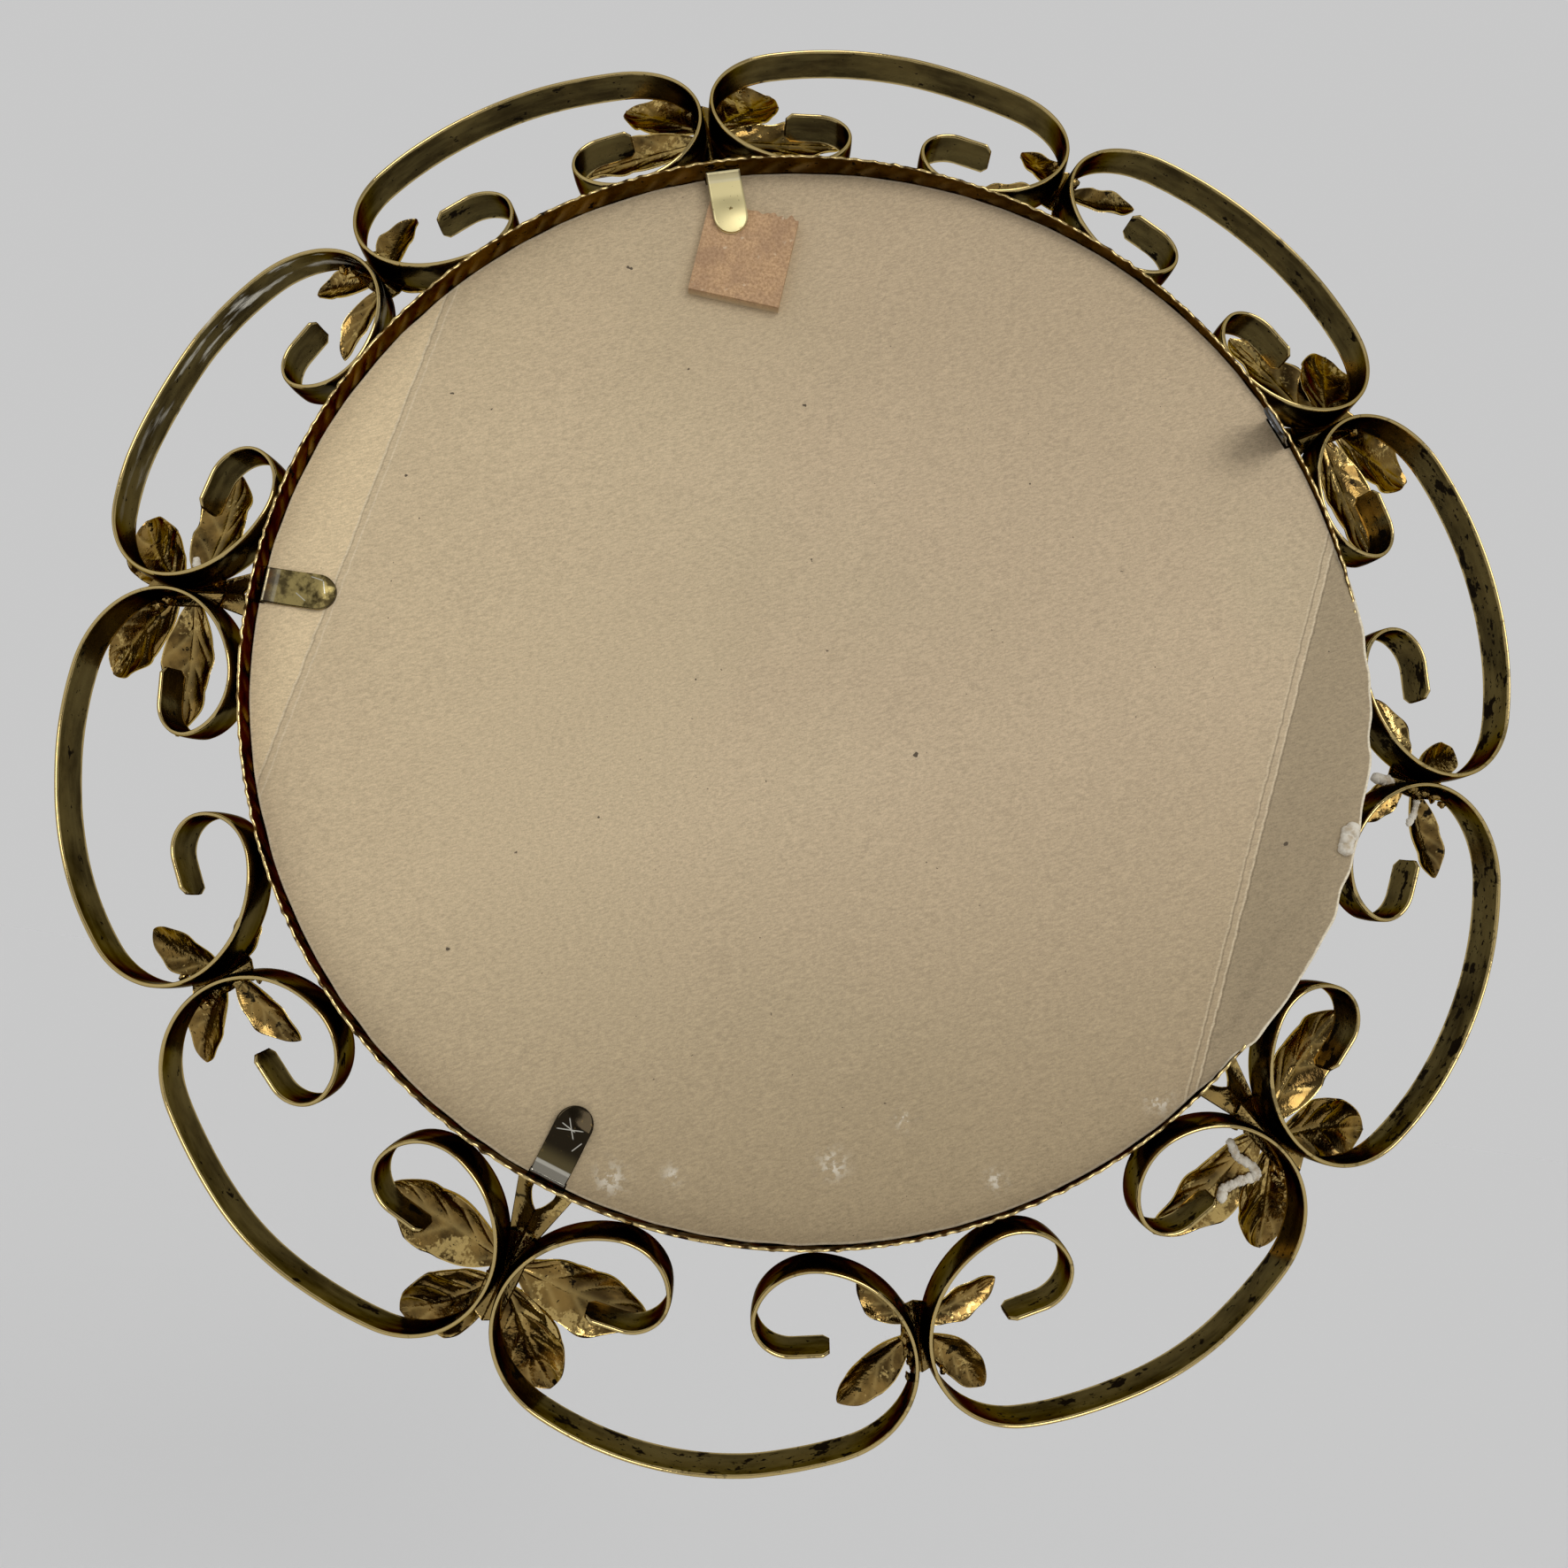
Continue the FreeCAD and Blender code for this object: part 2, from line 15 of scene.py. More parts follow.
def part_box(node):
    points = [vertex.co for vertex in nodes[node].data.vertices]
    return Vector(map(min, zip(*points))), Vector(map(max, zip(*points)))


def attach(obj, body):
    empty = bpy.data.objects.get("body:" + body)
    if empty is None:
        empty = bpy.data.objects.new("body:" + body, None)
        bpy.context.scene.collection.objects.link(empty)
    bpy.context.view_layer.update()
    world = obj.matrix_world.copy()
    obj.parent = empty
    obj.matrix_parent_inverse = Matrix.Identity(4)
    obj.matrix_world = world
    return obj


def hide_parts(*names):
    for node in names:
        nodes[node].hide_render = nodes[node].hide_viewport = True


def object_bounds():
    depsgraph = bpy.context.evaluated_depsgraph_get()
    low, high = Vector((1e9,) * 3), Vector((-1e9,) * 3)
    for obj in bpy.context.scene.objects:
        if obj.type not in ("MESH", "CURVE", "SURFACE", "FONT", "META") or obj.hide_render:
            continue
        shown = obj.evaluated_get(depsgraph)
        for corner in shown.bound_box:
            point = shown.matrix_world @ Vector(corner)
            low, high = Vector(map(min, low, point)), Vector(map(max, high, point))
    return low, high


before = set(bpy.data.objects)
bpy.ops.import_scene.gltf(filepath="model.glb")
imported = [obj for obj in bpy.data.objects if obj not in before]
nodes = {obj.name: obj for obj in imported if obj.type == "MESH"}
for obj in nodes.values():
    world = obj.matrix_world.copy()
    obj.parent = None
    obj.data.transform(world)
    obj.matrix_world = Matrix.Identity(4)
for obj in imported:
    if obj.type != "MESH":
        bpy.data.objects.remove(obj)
cad_low, cad_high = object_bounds()
MM = 0.001
print("loaded", len(nodes), "nodes; box", [round(v, 4) for v in (*cad_low, *cad_high)])

# %% [markdown]
# ## Two coordinate systems
#
# Ring coordinates count along the rim, out from the axis and forwards from the ring's back edge.
# Each scroll lies in a plane that slopes forwards as it goes out, so it has its own coordinates:
# u across the scroll, v up the slope and w through the strip from back to front.
# The places come from the boxes of the CAD nodes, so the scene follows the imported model.

# %% Sizes and coordinates
ring_low, ring_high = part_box("bezel_ring")
RING_BACK = ring_high[1]
AXIS_HEIGHT = (ring_low[2] + ring_high[2]) / 2
MOULDING_RADIUS = (ring_high[0] - ring_low[0]) / 2
RING_DEPTH = ring_high[1] - ring_low[1]
RING_RADIUS = 139 * MM
RING_WALL = 0.6 * MM
CLIP_DEGREES = {"top": -18, "right": 54, "bottom": 198, "left": 270}

SCROLLS = 10
PITCH = 2 * math.pi / SCROLLS
SLOPE = math.radians(22)
STRIP_WIDTH = 8.5 * MM
STRIP_THICKNESS = 1.3 * MM
CROWN_ABOVE_SIDES = 33.4 * MM
SHOULDER_RADIUS = 27.2 * MM
CURL_LOW_RADIUS = 15.5 * MM
CURL_UP_RADIUS = 9.5 * MM
CURL_HALF_GAP = 9.5 * MM
STUB_LENGTH = 9 * MM
STUB_DIP = math.radians(12)

scroll_low, scroll_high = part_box("scroll_01")
HALF_WIDTH = (scroll_high[0] - scroll_low[0]) / 2
FOOT_U = CURL_HALF_GAP + CURL_LOW_RADIUS
LOWER_RADIUS = HALF_WIDTH - FOOT_U
RISE = LOWER_RADIUS + CROWN_ABOVE_SIDES
SCROLL_RADIUS = scroll_high[2] - AXIS_HEIGHT - RISE * math.cos(SLOPE)
SCROLL_DEPTH = RING_BACK - scroll_high[1]


def from_ring(along, radial, depth, turn):
    """Part coordinates: 'along' and 'radial' turn clockwise, seen from behind, by 'turn' about the axis."""
    x = along * np.cos(turn) - radial * np.sin(turn)
    z = along * np.sin(turn) + radial * np.cos(turn) + AXIS_HEIGHT
    return np.stack(np.broadcast_arrays(x, RING_BACK - depth, z), axis=-1)


def from_scroll(u, v, w, turn):
    """Part coordinates of a scroll's point: v runs out and forwards, w through the strip to the front."""
    radial = SCROLL_RADIUS + v * math.cos(SLOPE) - w * math.sin(SLOPE)
    depth = SCROLL_DEPTH + v * math.sin(SLOPE) + w * math.cos(SLOPE)
    return from_ring(u, radial, depth, turn)


print(f"ring back at {RING_BACK:.4f}, axis at {AXIS_HEIGHT:.4f}, scroll half width {HALF_WIDTH:.4f}")

# %% [markdown]
# ## From arrays to meshes
#
# A shape is one array of points, and a few helpers join the points with faces: a tube closes a profile
# carried along a path, a slab closes two sheets with a rim, a disc closes two round sheets, and a lump is a
# rough ball. A closed mesh encloses a positive volume when its faces point outwards, so the sign of the
# volume says whether to turn them all round.

# %% Mesh helpers


def quads(rows, cols, wrap_rows=False, wrap_cols=False):
    """Faces between neighbours on a grid of points, joined end to end where an axis wraps."""
    i = np.arange(rows if wrap_rows else rows - 1)
    j = np.arange(cols if wrap_cols else cols - 1)
    i, j = (a.ravel() for a in np.meshgrid(i, j, indexing="ij"))
    i2, j2 = (i + 1) % rows, (j + 1) % cols
    return np.stack([i * cols + j, i2 * cols + j, i2 * cols + j2, i * cols + j2], axis=1)


def fan(hub, rim, reverse=False):
    """Triangles from one point to a closed rim."""
    after = np.roll(rim, -1)
    first, second = (after, rim) if reverse else (rim, after)
    return np.stack([np.full(len(rim), hub), first, second], axis=1).tolist()


def tube(points):
    """A profile (second axis, closed) carried along a path (first axis), with a cap at both ends."""
    rows, cols = points.shape[:2]
    ends = [np.arange(cols), np.arange(cols)[::-1] + (rows - 1) * cols]
    return points.reshape(-1, 3), quads(rows, cols, wrap_cols=True).tolist() + [end.tolist() for end in ends]


def slab(front, back):
    """Two sheets of points of the same shape, joined round their border."""
    rows, cols = front.shape[:2]
    count = rows * cols
    index = np.arange(count).reshape(rows, cols)
    border = np.concatenate([index[0, :-1], index[:-1, -1], index[-1, :0:-1], index[:0:-1, 0]])
    after = np.roll(border, -1)
    sheet = quads(rows, cols)
    rim = np.stack([border, border + count, after + count, after], axis=1)
    faces = np.concatenate([sheet, sheet[:, ::-1] + count, rim])
    return np.concatenate([front.reshape(-1, 3), back.reshape(-1, 3)]), faces.tolist()


def disc(back, front):
    """Two round sheets (circles by steps), each closed by a fan about its middle and joined round the rim."""
    rows, cols = back.shape[:2]
    count = rows * cols
    sheet = quads(rows, cols, wrap_cols=True)
    rim = np.arange(cols) + (rows - 1) * cols
    after = np.roll(rim, -1)
    edge = np.stack([after, rim, rim + count, after + count], axis=1)
    faces = np.concatenate([sheet, sheet[:, ::-1] + count, edge]).tolist()
    faces += fan(2 * count, np.arange(cols)) + fan(2 * count + 1, np.arange(cols) + count, reverse=True)
    middles = np.stack([back[0].mean(axis=0), front[0].mean(axis=0)])
    return np.concatenate([back.reshape(-1, 3), front.reshape(-1, 3), middles]), faces


LUMP_ROWS = 11
LUMP_COLS = 18


def lump(centre, sizes, seed, rough=0.22):
    """A rough ball: a sphere scaled by three half sizes, with waves of random phase on its radius."""
    rng = np.random.default_rng(seed)
    low, turn = np.meshgrid(np.linspace(0, np.pi, LUMP_ROWS + 2)[1:-1],
                            np.linspace(0, 2 * np.pi, LUMP_COLS, endpoint=False), indexing="ij")
    a, b, c = rng.uniform(0, 2 * np.pi, 3)
    waves = np.sin(3 * turn + a) * np.sin(low) + np.sin(2 * low + b) + np.sin(5 * turn + c) * np.sin(low)
    radius = 1 + rough * waves / 2
    ball = np.stack([np.sin(low) * np.cos(turn), np.cos(low), np.sin(low) * np.sin(turn)], axis=-1)
    rows = (ball * radius[..., None] * sizes + centre).reshape(-1, 3)
    poles = np.array([[0, 1, 0], [0, -1, 0]]) * sizes + centre
    count = LUMP_ROWS * LUMP_COLS
    rim = np.arange(LUMP_COLS)
    faces = quads(LUMP_ROWS, LUMP_COLS, wrap_cols=True).tolist()
    faces += fan(count, rim) + fan(count + 1, rim + count - LUMP_COLS, reverse=True)
    return np.concatenate([rows, poles]), faces


def volume(verts, faces):
    """Six times the enclosed volume: the sum over the faces' triangles of a . (b x c)."""
    triangles = np.array([(f[0], f[k], f[k + 1]) for f in faces for k in range(1, len(f) - 1)])
    a, b, c = (verts[triangles[:, k]] for k in range(3))
    return float(np.einsum("ij,ij->i", a, np.cross(b, c)).sum())


def joined(shells):
    """Several closed shells as one mesh, each turned so that its faces point outwards."""
    verts, faces, start = [], [], 0
    for points, sides in shells:
        if volume(points - points.mean(axis=0), sides) < 0:
            sides = [side[::-1] for side in sides]
        verts.append(points)
        faces += [[v + start for v in side] for side in sides]
        start += len(points)
    return np.concatenate(verts), faces


def piece(name, shells, material, body, replaced=(), values=None):
    """A smooth mesh object with its attributes, material and body, and the nodes that it stands for."""
    verts, faces = joined(shells)
    mesh = bpy.data.meshes.new(name)
    mesh.from_pydata(verts.tolist(), [], faces)
    mesh.polygons.foreach_set("use_smooth", np.ones(len(mesh.polygons), dtype=bool))
    for label, data in (values or {}).items():
        attribute = mesh.attributes.new(label, "FLOAT", "POINT")
        attribute.data.foreach_set("value", np.asarray(data, dtype=np.float32).ravel())
    mesh.update()
    obj = bpy.data.objects.new(name, mesh)
    bpy.context.scene.collection.objects.link(obj)
    mesh.materials.append(material)
    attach(obj, body)
    if replaced:
        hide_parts(*replaced)
    return obj


def ripple(angle, seed, low, high):
    """Smooth noise on a circle: waves of every count from low to high, with random phases, about 1 high."""
    rng = np.random.default_rng(seed)
    counts = np.arange(low, high + 1)
    phases = rng.uniform(0, 2 * np.pi, len(counts))
    sizes = rng.uniform(0.5, 1.0, len(counts)) / math.sqrt(len(counts) / 2)
    waves = np.sin(np.asarray(angle)[..., None] * counts + phases)
    return (waves * sizes).sum(axis=-1)


def hill(distance, width):
    """1 at no distance, falling smoothly to nothing a few widths away."""
    return np.exp(-(distance / width) ** 2)


# %% [markdown]
# ## Shader nodes as values
#
# A value is one output in a shader tree, and sums and products of values add the nodes that work them out.
# Masks, noise and colours can then be written like any other formula.

# %% Shader values


class Value:
    """One output in a shader tree."""

    def __init__(self, tree, socket):
        self.tree, self.socket = tree, socket

    def __add__(self, other):
        return maths("ADD", self, other)

    def __sub__(self, other):
        return maths("SUBTRACT", self, other)

    def __rsub__(self, other):
        return maths("SUBTRACT", other, self)

    def __mul__(self, other):
        return maths("MULTIPLY", self, other)

    def __abs__(self):
        return maths("ABSOLUTE", self)


def wire(tree, made, **sockets):
    """Links values to a node's inputs and sets the others. In a name _ is a space, and _0 is the first."""
    for label, value in sockets.items():
        target = made.inputs[int(label[1:])] if label[0] == "_" else made.inputs[label.replace("_", " ")]
        if isinstance(value, Value):
            tree.links.new(value.socket, target)
        else:
            target.default_value = value


def node(tree, kind, output=0, settings=None, **sockets):
    """One output of a new node with these settings and inputs."""
    made = tree.nodes.new(kind)
    for label, setting in (settings or {}).items():
        setattr(made, label, setting)
    wire(tree, made, **sockets)
    return Value(tree, made.outputs[output])


def maths(operation, a, b=0.0):
    """A step on one or two numbers, of which at least one is a value."""
    tree = a.tree if isinstance(a, Value) else b.tree
    return node(tree, "ShaderNodeMath", 0, {"operation": operation}, _0=a, _1=b)


def blended(amount, a, b):
    """Colour a passing into colour b by a mask."""
    a, b = (paint if isinstance(paint, Value) else (*paint, 1) for paint in (a, b))
    return node(amount.tree, "ShaderNodeMix", 2, {"data_type": "RGBA"}, _0=amount, _6=a, _7=b)


def ramped(value, low, high):
    """Mask that is 0 below low, 1 above high and smooth between."""
    return node(value.tree, "ShaderNodeMapRange", 0, {"interpolation_type": "SMOOTHSTEP"},
                Value=value, From_Min=low, From_Max=high)


def line_mask(distance, centre, half):
    """1 on a thin line where a distance equals its centre."""
    return 1.0 - ramped(abs(distance - centre), half * 0.4, half)


def noise(vector, scale, detail=3.0, rough=0.55):
    """Fractal noise between 0 and 1."""
    return node(vector.tree, "ShaderNodeTexNoise", Vector=vector, Scale=scale, Detail=detail, Roughness=rough)


def attribute(tree, label):
    """A point attribute of the piece."""
    return node(tree, "ShaderNodeAttribute", "Fac", {"attribute_name": label})


def new_material(name):
    """Node material with its tree, its Principled node and Object coordinates."""
    material = bpy.data.materials.new(name)
    material.use_nodes = True
    tree = material.node_tree
    return material, tree, tree.nodes["Principled BSDF"], node(tree, "ShaderNodeTexCoord", "Object")


def bumped(shader, height, strength, distance):
    """Relief from a height."""
    tree = height.tree
    normal = node(tree, "ShaderNodeBump", "Normal", Strength=strength, Distance=distance, Height=height)
    wire(tree, shader, Normal=normal)


# %% [markdown]
# ## Metal that has aged
#
# Bronzed brass darkens on its faces, keeps bright gold where hands and cloth rub its edges, and gets
# black spots. Two groups make these masks from coordinates, so that strips, leaves and ring share them
# with different amounts.

# %% Shader groups
# Scale of a spot noise, its threshold and how far the amount lowers that
SPOT_NOISES = ((210.0, 0.715, 0.155), (900.0, 0.70, 0.11))
SPOT_FADE = 0.03


def group(name, inputs, outputs):
    """A new shader group: its tree, its input values and its output node."""
    tree = bpy.data.node_groups.new(name, "ShaderNodeTree")
    for way, sockets in (("INPUT", inputs), ("OUTPUT", outputs)):
        for label, kind in sockets.items():
            tree.interface.new_socket(label, in_out=way, socket_type="NodeSocket" + kind)
    given = tree.nodes.new("NodeGroupInput")
    return tree, [Value(tree, given.outputs[label]) for label in inputs], tree.nodes.new("NodeGroupOutput")


def tarnish_group():
    """Blotches and pepper: noise above a threshold that the amount lowers, and a cloud for uneven colour."""
    tree, (vector, amount), out = group("Tarnish", {"Vector": "Vector", "Amount": "Float"},
                                        {"Spots": "Float", "Cloud": "Float"})
    masks = []
    for scale, start, fall in SPOT_NOISES:
        low = start - amount * fall
        masks.append(ramped(noise(vector, scale, 4.0, 0.6), low, low + SPOT_FADE))
    wire(tree, out, Spots=maths("MAXIMUM", *masks), Cloud=noise(vector, 95.0, 5.0, 0.6))
    return tree


def rubbed_group():
    """Rubbed edges: 1 where 'Across' is near 0 or 1, broken up by noise."""
    tree, (across, width, vector), out = group(
        "Rubbed edge", {"Across": "Float", "Width": "Float", "Vector": "Vector"}, {"Mask": "Float"})
    inward = 0.5 - abs(across - 0.5)
    reach = width * (noise(vector, 160.0, 3.0) * 0.9 + 0.55)
    wire(tree, out, Mask=1.0 - ramped(inward, reach * 0.35, reach))
    return tree


TARNISH = tarnish_group()
RUBBED = rubbed_group()

# %% [markdown]
# ## The finishes
#
# Each finish is one Principled surface. The dark bronze keeps a metal's reflection, and the gold shows
# where the rubbed mask says so and on ridges, such as a vein's, as wear and painted highlight. A strip's
# spots are drawn out along it.

# %% Metal finishes
SPOT_BROWN = (0.014, 0.010, 0.006)
STREAK_OLIVE = (0.17, 0.130, 0.046)
CHALK = (0.55, 0.52, 0.44)
GRAZING_BROWN = (0.27, 0.205, 0.09)


def placed(tree, made, **sockets):
    """The outputs of a shader group in a material."""
    used = tree.nodes.new("ShaderNodeGroup")
    used.node_tree = made
    wire(tree, used, **sockets)
    return [Value(tree, socket) for socket in used.outputs]


def strip_coords(tree, squeeze):
    """Coordinates along and across a strip, squeezed along it so that marks come out long."""
    return node(tree, "ShaderNodeCombineXYZ", X=attribute(tree, "along") * squeeze,
                Y=attribute(tree, "across") * STRIP_WIDTH)


def aged_metal(name, dark, warm, gold, rub_width, rough, relief, ridge_wear_and_sheen, glints=0.0, on_strip=False):
    """Bronzed brass: dark and warm brown in clouds, gold on rubbed edges, gold on ridges as wear and painted
    highlight, patches of painted glints, and dark spots. The attribute 'worn' sets the amount of spots."""
    material, tree, shader, coords = new_material(name)
    vector = strip_coords(tree, 0.5) if on_strip else coords
    spots, cloud = placed(tree, TARNISH, Vector=vector, Amount=attribute(tree, "worn"))
    (bright,) = placed(tree, RUBBED, Across=attribute(tree, "across"), Width=rub_width, Vector=coords)
    colour = blended(ramped(cloud, 0.36, 0.66), dark, warm)
    if on_strip:
        streak = ramped(noise(strip_coords(tree, 0.14), 420.0, 4.0), 0.36, 0.72)
        colour = blended(streak * 0.4, colour, STREAK_OLIVE)
    # Gold on ridges: rubbed wear and painted highlight on leaf veins, painted glints on the ring's lenses,
    # painted light on collars and forks
    if ridge_wear_and_sheen:
        bright = maths("MAXIMUM", bright, attribute(tree, "ridge") * ridge_wear_and_sheen)
    # painted highlights: bright gold patches standing for glints on the crumpled leaves
    if glints:
        glint_noise = noise(coords, 75.0, 2.0) * 0.7 + noise(coords, 1000.0, 3.0) * 0.3
        bright = maths("MAXIMUM", bright, ramped(glint_noise, 0.545, 0.60) * glints)
    colour = blended(bright, colour, gold)
    spots = spots * (1.0 - bright * 0.6)
    colour = blended(spots, colour, SPOT_BROWN)
    metal = 1.0
    if on_strip:
        chalk = attribute(tree, "chalk") * ramped(noise(strip_coords(tree, 0.12), 520.0, 4.0), 0.52, 0.66)
        colour = blended(chalk, colour, CHALK)
        metal = 1.0 - chalk
    dull = spots * 0.3 + rough + cloud * 0.14 - bright * 0.12
    wire(tree, shader, Base_Color=colour, Metallic=metal, Roughness=dull, Specular_Tint=(*GRAZING_BROWN, 1))
    bumped(shader, cloud + noise(coords, 900.0) * 0.5, relief, 0.6 * MM)
    return material


STRIP_BRONZE = aged_metal("strip bronze", (0.036, 0.025, 0.009), (0.105, 0.075, 0.025), (0.62, 0.47, 0.20),
                          0.11, 0.12, 0.10, 0.0, on_strip=True)
# Leaves: gold on ridges as wear and painted highlight, and painted glint patches
LEAF_BRONZE = aged_metal("leaf bronze", (0.070, 0.042, 0.014), (0.33, 0.205, 0.060), (0.72, 0.52, 0.19),
                         0.04, 0.06, 0.42, 0.45, glints=0.75)
RING_BRASS = aged_metal("ring brass", (0.058, 0.032, 0.010), (0.155, 0.086, 0.025), (0.75, 0.56, 0.25),
                        0.05, 0.10, 0.25, 0.2)
print("metal finishes made")

# %% [markdown]
# ## The scrolls
#
# Each scroll is one strip of brass bent round a jig: a wide crown, two shoulders, two round sides that
# touch the neighbours, and two curls that end in short stubs with clipped corners. All its bends turn the
# same way, so the path is a chain of arcs. The strip's edges are round and catch the light, its faces are
# slightly domed, and no two were bent quite alike. A profile carried along the path gives all of this.

# %% Strip scrolls
PATH_STEP = 1.0 * MM
DOME = 0.3 * MM
WAVER = 0.5 * MM
CORNER_CLIP = 1.6 * MM
CHALKED_SCROLL = 9
CHALK_PLACE = -0.22
CHALK_SPREAD = 0.3
SCROLL_WORN_SHARES = (0.40, 0.65, 0.95, 1.00, 0.80, 0.90, 0.55, 0.50, 0.45, 0.55)


def half_arcs():
    """Arcs from the crown's middle to the stub as centre, radius, start and end angle, angles falling."""
    shoulder_u = HALF_WIDTH - SHOULDER_RADIUS
    reach = shoulder_u ** 2 + CROWN_ABOVE_SIDES ** 2 - SHOULDER_RADIUS ** 2
    crown_radius = reach / (2 * (CROWN_ABOVE_SIDES - SHOULDER_RADIUS))
    crown_v = RISE - crown_radius
    turn = math.atan2(LOWER_RADIUS - crown_v, shoulder_u)
    right = math.pi / 2
    return [
        ((0.0, crown_v), crown_radius, right, turn),
        ((shoulder_u, LOWER_RADIUS), SHOULDER_RADIUS, turn, 0.0),
        ((FOOT_U, LOWER_RADIUS), LOWER_RADIUS, 0.0, -right),
        ((FOOT_U, CURL_LOW_RADIUS), CURL_LOW_RADIUS, -right, -2 * right),
        ((CURL_HALF_GAP + CURL_UP_RADIUS, CURL_LOW_RADIUS), CURL_UP_RADIUS,
         -2 * right, -3 * right - STUB_DIP),
    ]


def strip_path():
    """Outer-face points, outward normals and distance from the crown along the right half."""
    points, normals = [], []
    for centre, radius, start, end in half_arcs():
        steps = max(int(radius * (start - end) / PATH_STEP), 4)
        angle = np.linspace(start, end, steps, endpoint=False)
        normals.append(np.stack([np.cos(angle), np.sin(angle)], axis=1))
        points.append(np.array(centre) + radius * normals[-1])
    centre, radius, _, end = half_arcs()[-1]
    normal = np.array([math.cos(end), math.sin(end)])
    along = np.array([normal[1], -normal[0]])
    run = np.linspace(0, STUB_LENGTH, int(STUB_LENGTH / PATH_STEP * 2))
    points.append(np.array(centre) + radius * normal + run[:, None] * along)
    normals.append(np.repeat(normal[None], len(run), axis=0))
    points, normals = np.concatenate(points), np.concatenate(normals)
    length = np.concatenate([[0], np.cumsum(np.linalg.norm(np.diff(points, axis=0), axis=1))])
    return points, normals, length


def strip_profile():
    """Closed profile of the strip, with half-round edges: offset along the outward normal, place across."""
    half = STRIP_THICKNESS / 2
    across = np.linspace(half, STRIP_WIDTH - half, 9)
    dome = DOME * (2 * across / STRIP_WIDTH - 1) ** 2
    outer = np.stack([-dome, across], axis=1)
    inner = np.stack([-STRIP_THICKNESS + DOME - dome, across], axis=1)[::-1]
    angle = np.linspace(0, np.pi, 8)[1:-1]
    body = half - DOME / 2
    round_edge = np.stack([-half + body * np.cos(angle), half * np.sin(angle)], axis=1)
    front = round_edge + (-DOME / 2, STRIP_WIDTH - half)
    back = (round_edge * (1, -1) + (-DOME / 2, half))[::-1]
    return np.concatenate([outer, front, inner, back])


def scroll(number):
    """One bent strip, with attributes along and across it for the finish. It wavers more inwards than out."""
    half, normal, length = strip_path()
    side = np.array([-1, 1])
    points = np.concatenate([(half * side)[:0:-1], half])
    normals = np.concatenate([(normal * side)[:0:-1], normal])
    run = np.concatenate([-length[:0:-1], length])
    share = run / length[-1]
    waver = WAVER * ripple(share * np.pi, number, 1, 5) * (0.4 + 0.6 * np.cos(share * np.pi * 2))
    waver = waver - np.abs(waver) * 0.5
    profile = strip_profile()
    left = length[-1] - np.abs(run)
    narrow = np.clip(1 - (CORNER_CLIP - left) / (STRIP_WIDTH / 2), 0, 1)[:, None]
    place = points[:, None] + normals[:, None] * (profile[None, :, :1] + waver[:, None, None])
    w = STRIP_WIDTH / 2 + (profile[None, :, 1] - STRIP_WIDTH / 2) * narrow
    grid = from_scroll(place[..., 0], place[..., 1], w, (number - 1) * PITCH)
    across = np.broadcast_to(profile[None, :, 1] / STRIP_WIDTH, grid.shape[:2])
    along = np.broadcast_to((run + number)[:, None], grid.shape[:2])
    worn = np.full(grid.shape[:2], SCROLL_WORN_SHARES[number - 1])
    chalk = hill(share - CHALK_PLACE, CHALK_SPREAD)[:, None] * (number == CHALKED_SCROLL)
    chalk = np.broadcast_to(chalk, grid.shape[:2])
    label = f"scroll_{number:02d}"
    return piece("strip_" + label, [tube(grid)], STRIP_BRONZE, "mirror", [label],
                 {"across": across, "along": along, "worn": worn, "chalk": chalk})


for number in range(1, SCROLLS + 1):
    scroll(number)
print("scrolls made")

# %% [markdown]
# ## The sprigs
#
# Stamped leaves sit on the front edges of the strips where two scrolls meet: wide veined leaves with a
# forked foot at every second joint and narrow smooth ones, in a lump of braze, at the others. From behind,
# their hollow sides show. A leaf is a sheet over (stem to tip, edge to edge), with a trough, veins and a
# ruffled edge added.

# %% Leaf sprigs
LEAF_SHEET = 0.6 * MM
LEAF_ALONG = 60
LEAF_ACROSS = 33
PLATE_GAP = 0.1 * MM
MEETING = math.atan(math.cos(SLOPE) * math.tan(PITCH / 2))
STEM_SHARE = 0.2
FRONT_POWER = 0.85
TIP_POWER = 0.75
EDGE_WAVE = 0.025
EDGE_WAVES = 2.3
VEIN_PAIRS = 4.5
VEIN_SLANT = 1.3
VEIN_SHARPNESS = 6
RIB_WIDTH = 0.11
RUFFLE_WAVES = 2.6
SWAY_SHARE = 0.05
DEEPEST = RING_BACK - cad_low[1] - 0.1 * MM
# Ridge value that turns the collars and forks partly gold: painted light where they lie in shade between the
# strips
COLLAR_PAINTED_LIGHT = 0.6
COLLAR_SHEET = 0.8 * MM
COLLAR_REACH = 2.6 * MM
COLLAR_BEYOND = 8 * MM
# Shares of the side's radius
FORK_TOP = 0.62
FORK_FOOT = -0.30
FORK_LEAVES_STRIP = 0.30
FORK_FOOT_ACROSS = 0.32
FORK_INSET = 0.03
FORK_DIPS_BELOW = 0.4
NOTCH_TOP = 0.02
NOTCH_ROUND = 0.12
NOTCH_HALF_SHARE = 0.115
FORK_DIP = 0.9 * MM
FORK_CROWN = 0.5 * MM
COLLAR_CELLS = (24, 10)
FORK_CELLS = (40, 14)
BRAZE_SPREAD = 0.45
# Least and most for a bead of braze: inwards and half size in millimetres, place across the strip as a share
BRAZE_INWARD = (0.1, 1.6)
BRAZE_ACROSS = (0.75, 1.0)
BRAZE_HALF = (0.7, 1.7)


def plate(shares):
    """Place on the strips' front edges, as shares of the side's radius from the curl's foot."""
    return np.array([-FOOT_U - shares[0] * LOWER_RADIUS, shares[1] * LOWER_RADIUS])


def two_sheets(u, v, low, high):
    """Front and back of a sheet on the scroll at the +X side of a joint at the ring's top."""
    return from_scroll(u, v, high, -PITCH / 2), from_scroll(u, v, low, -PITCH / 2)


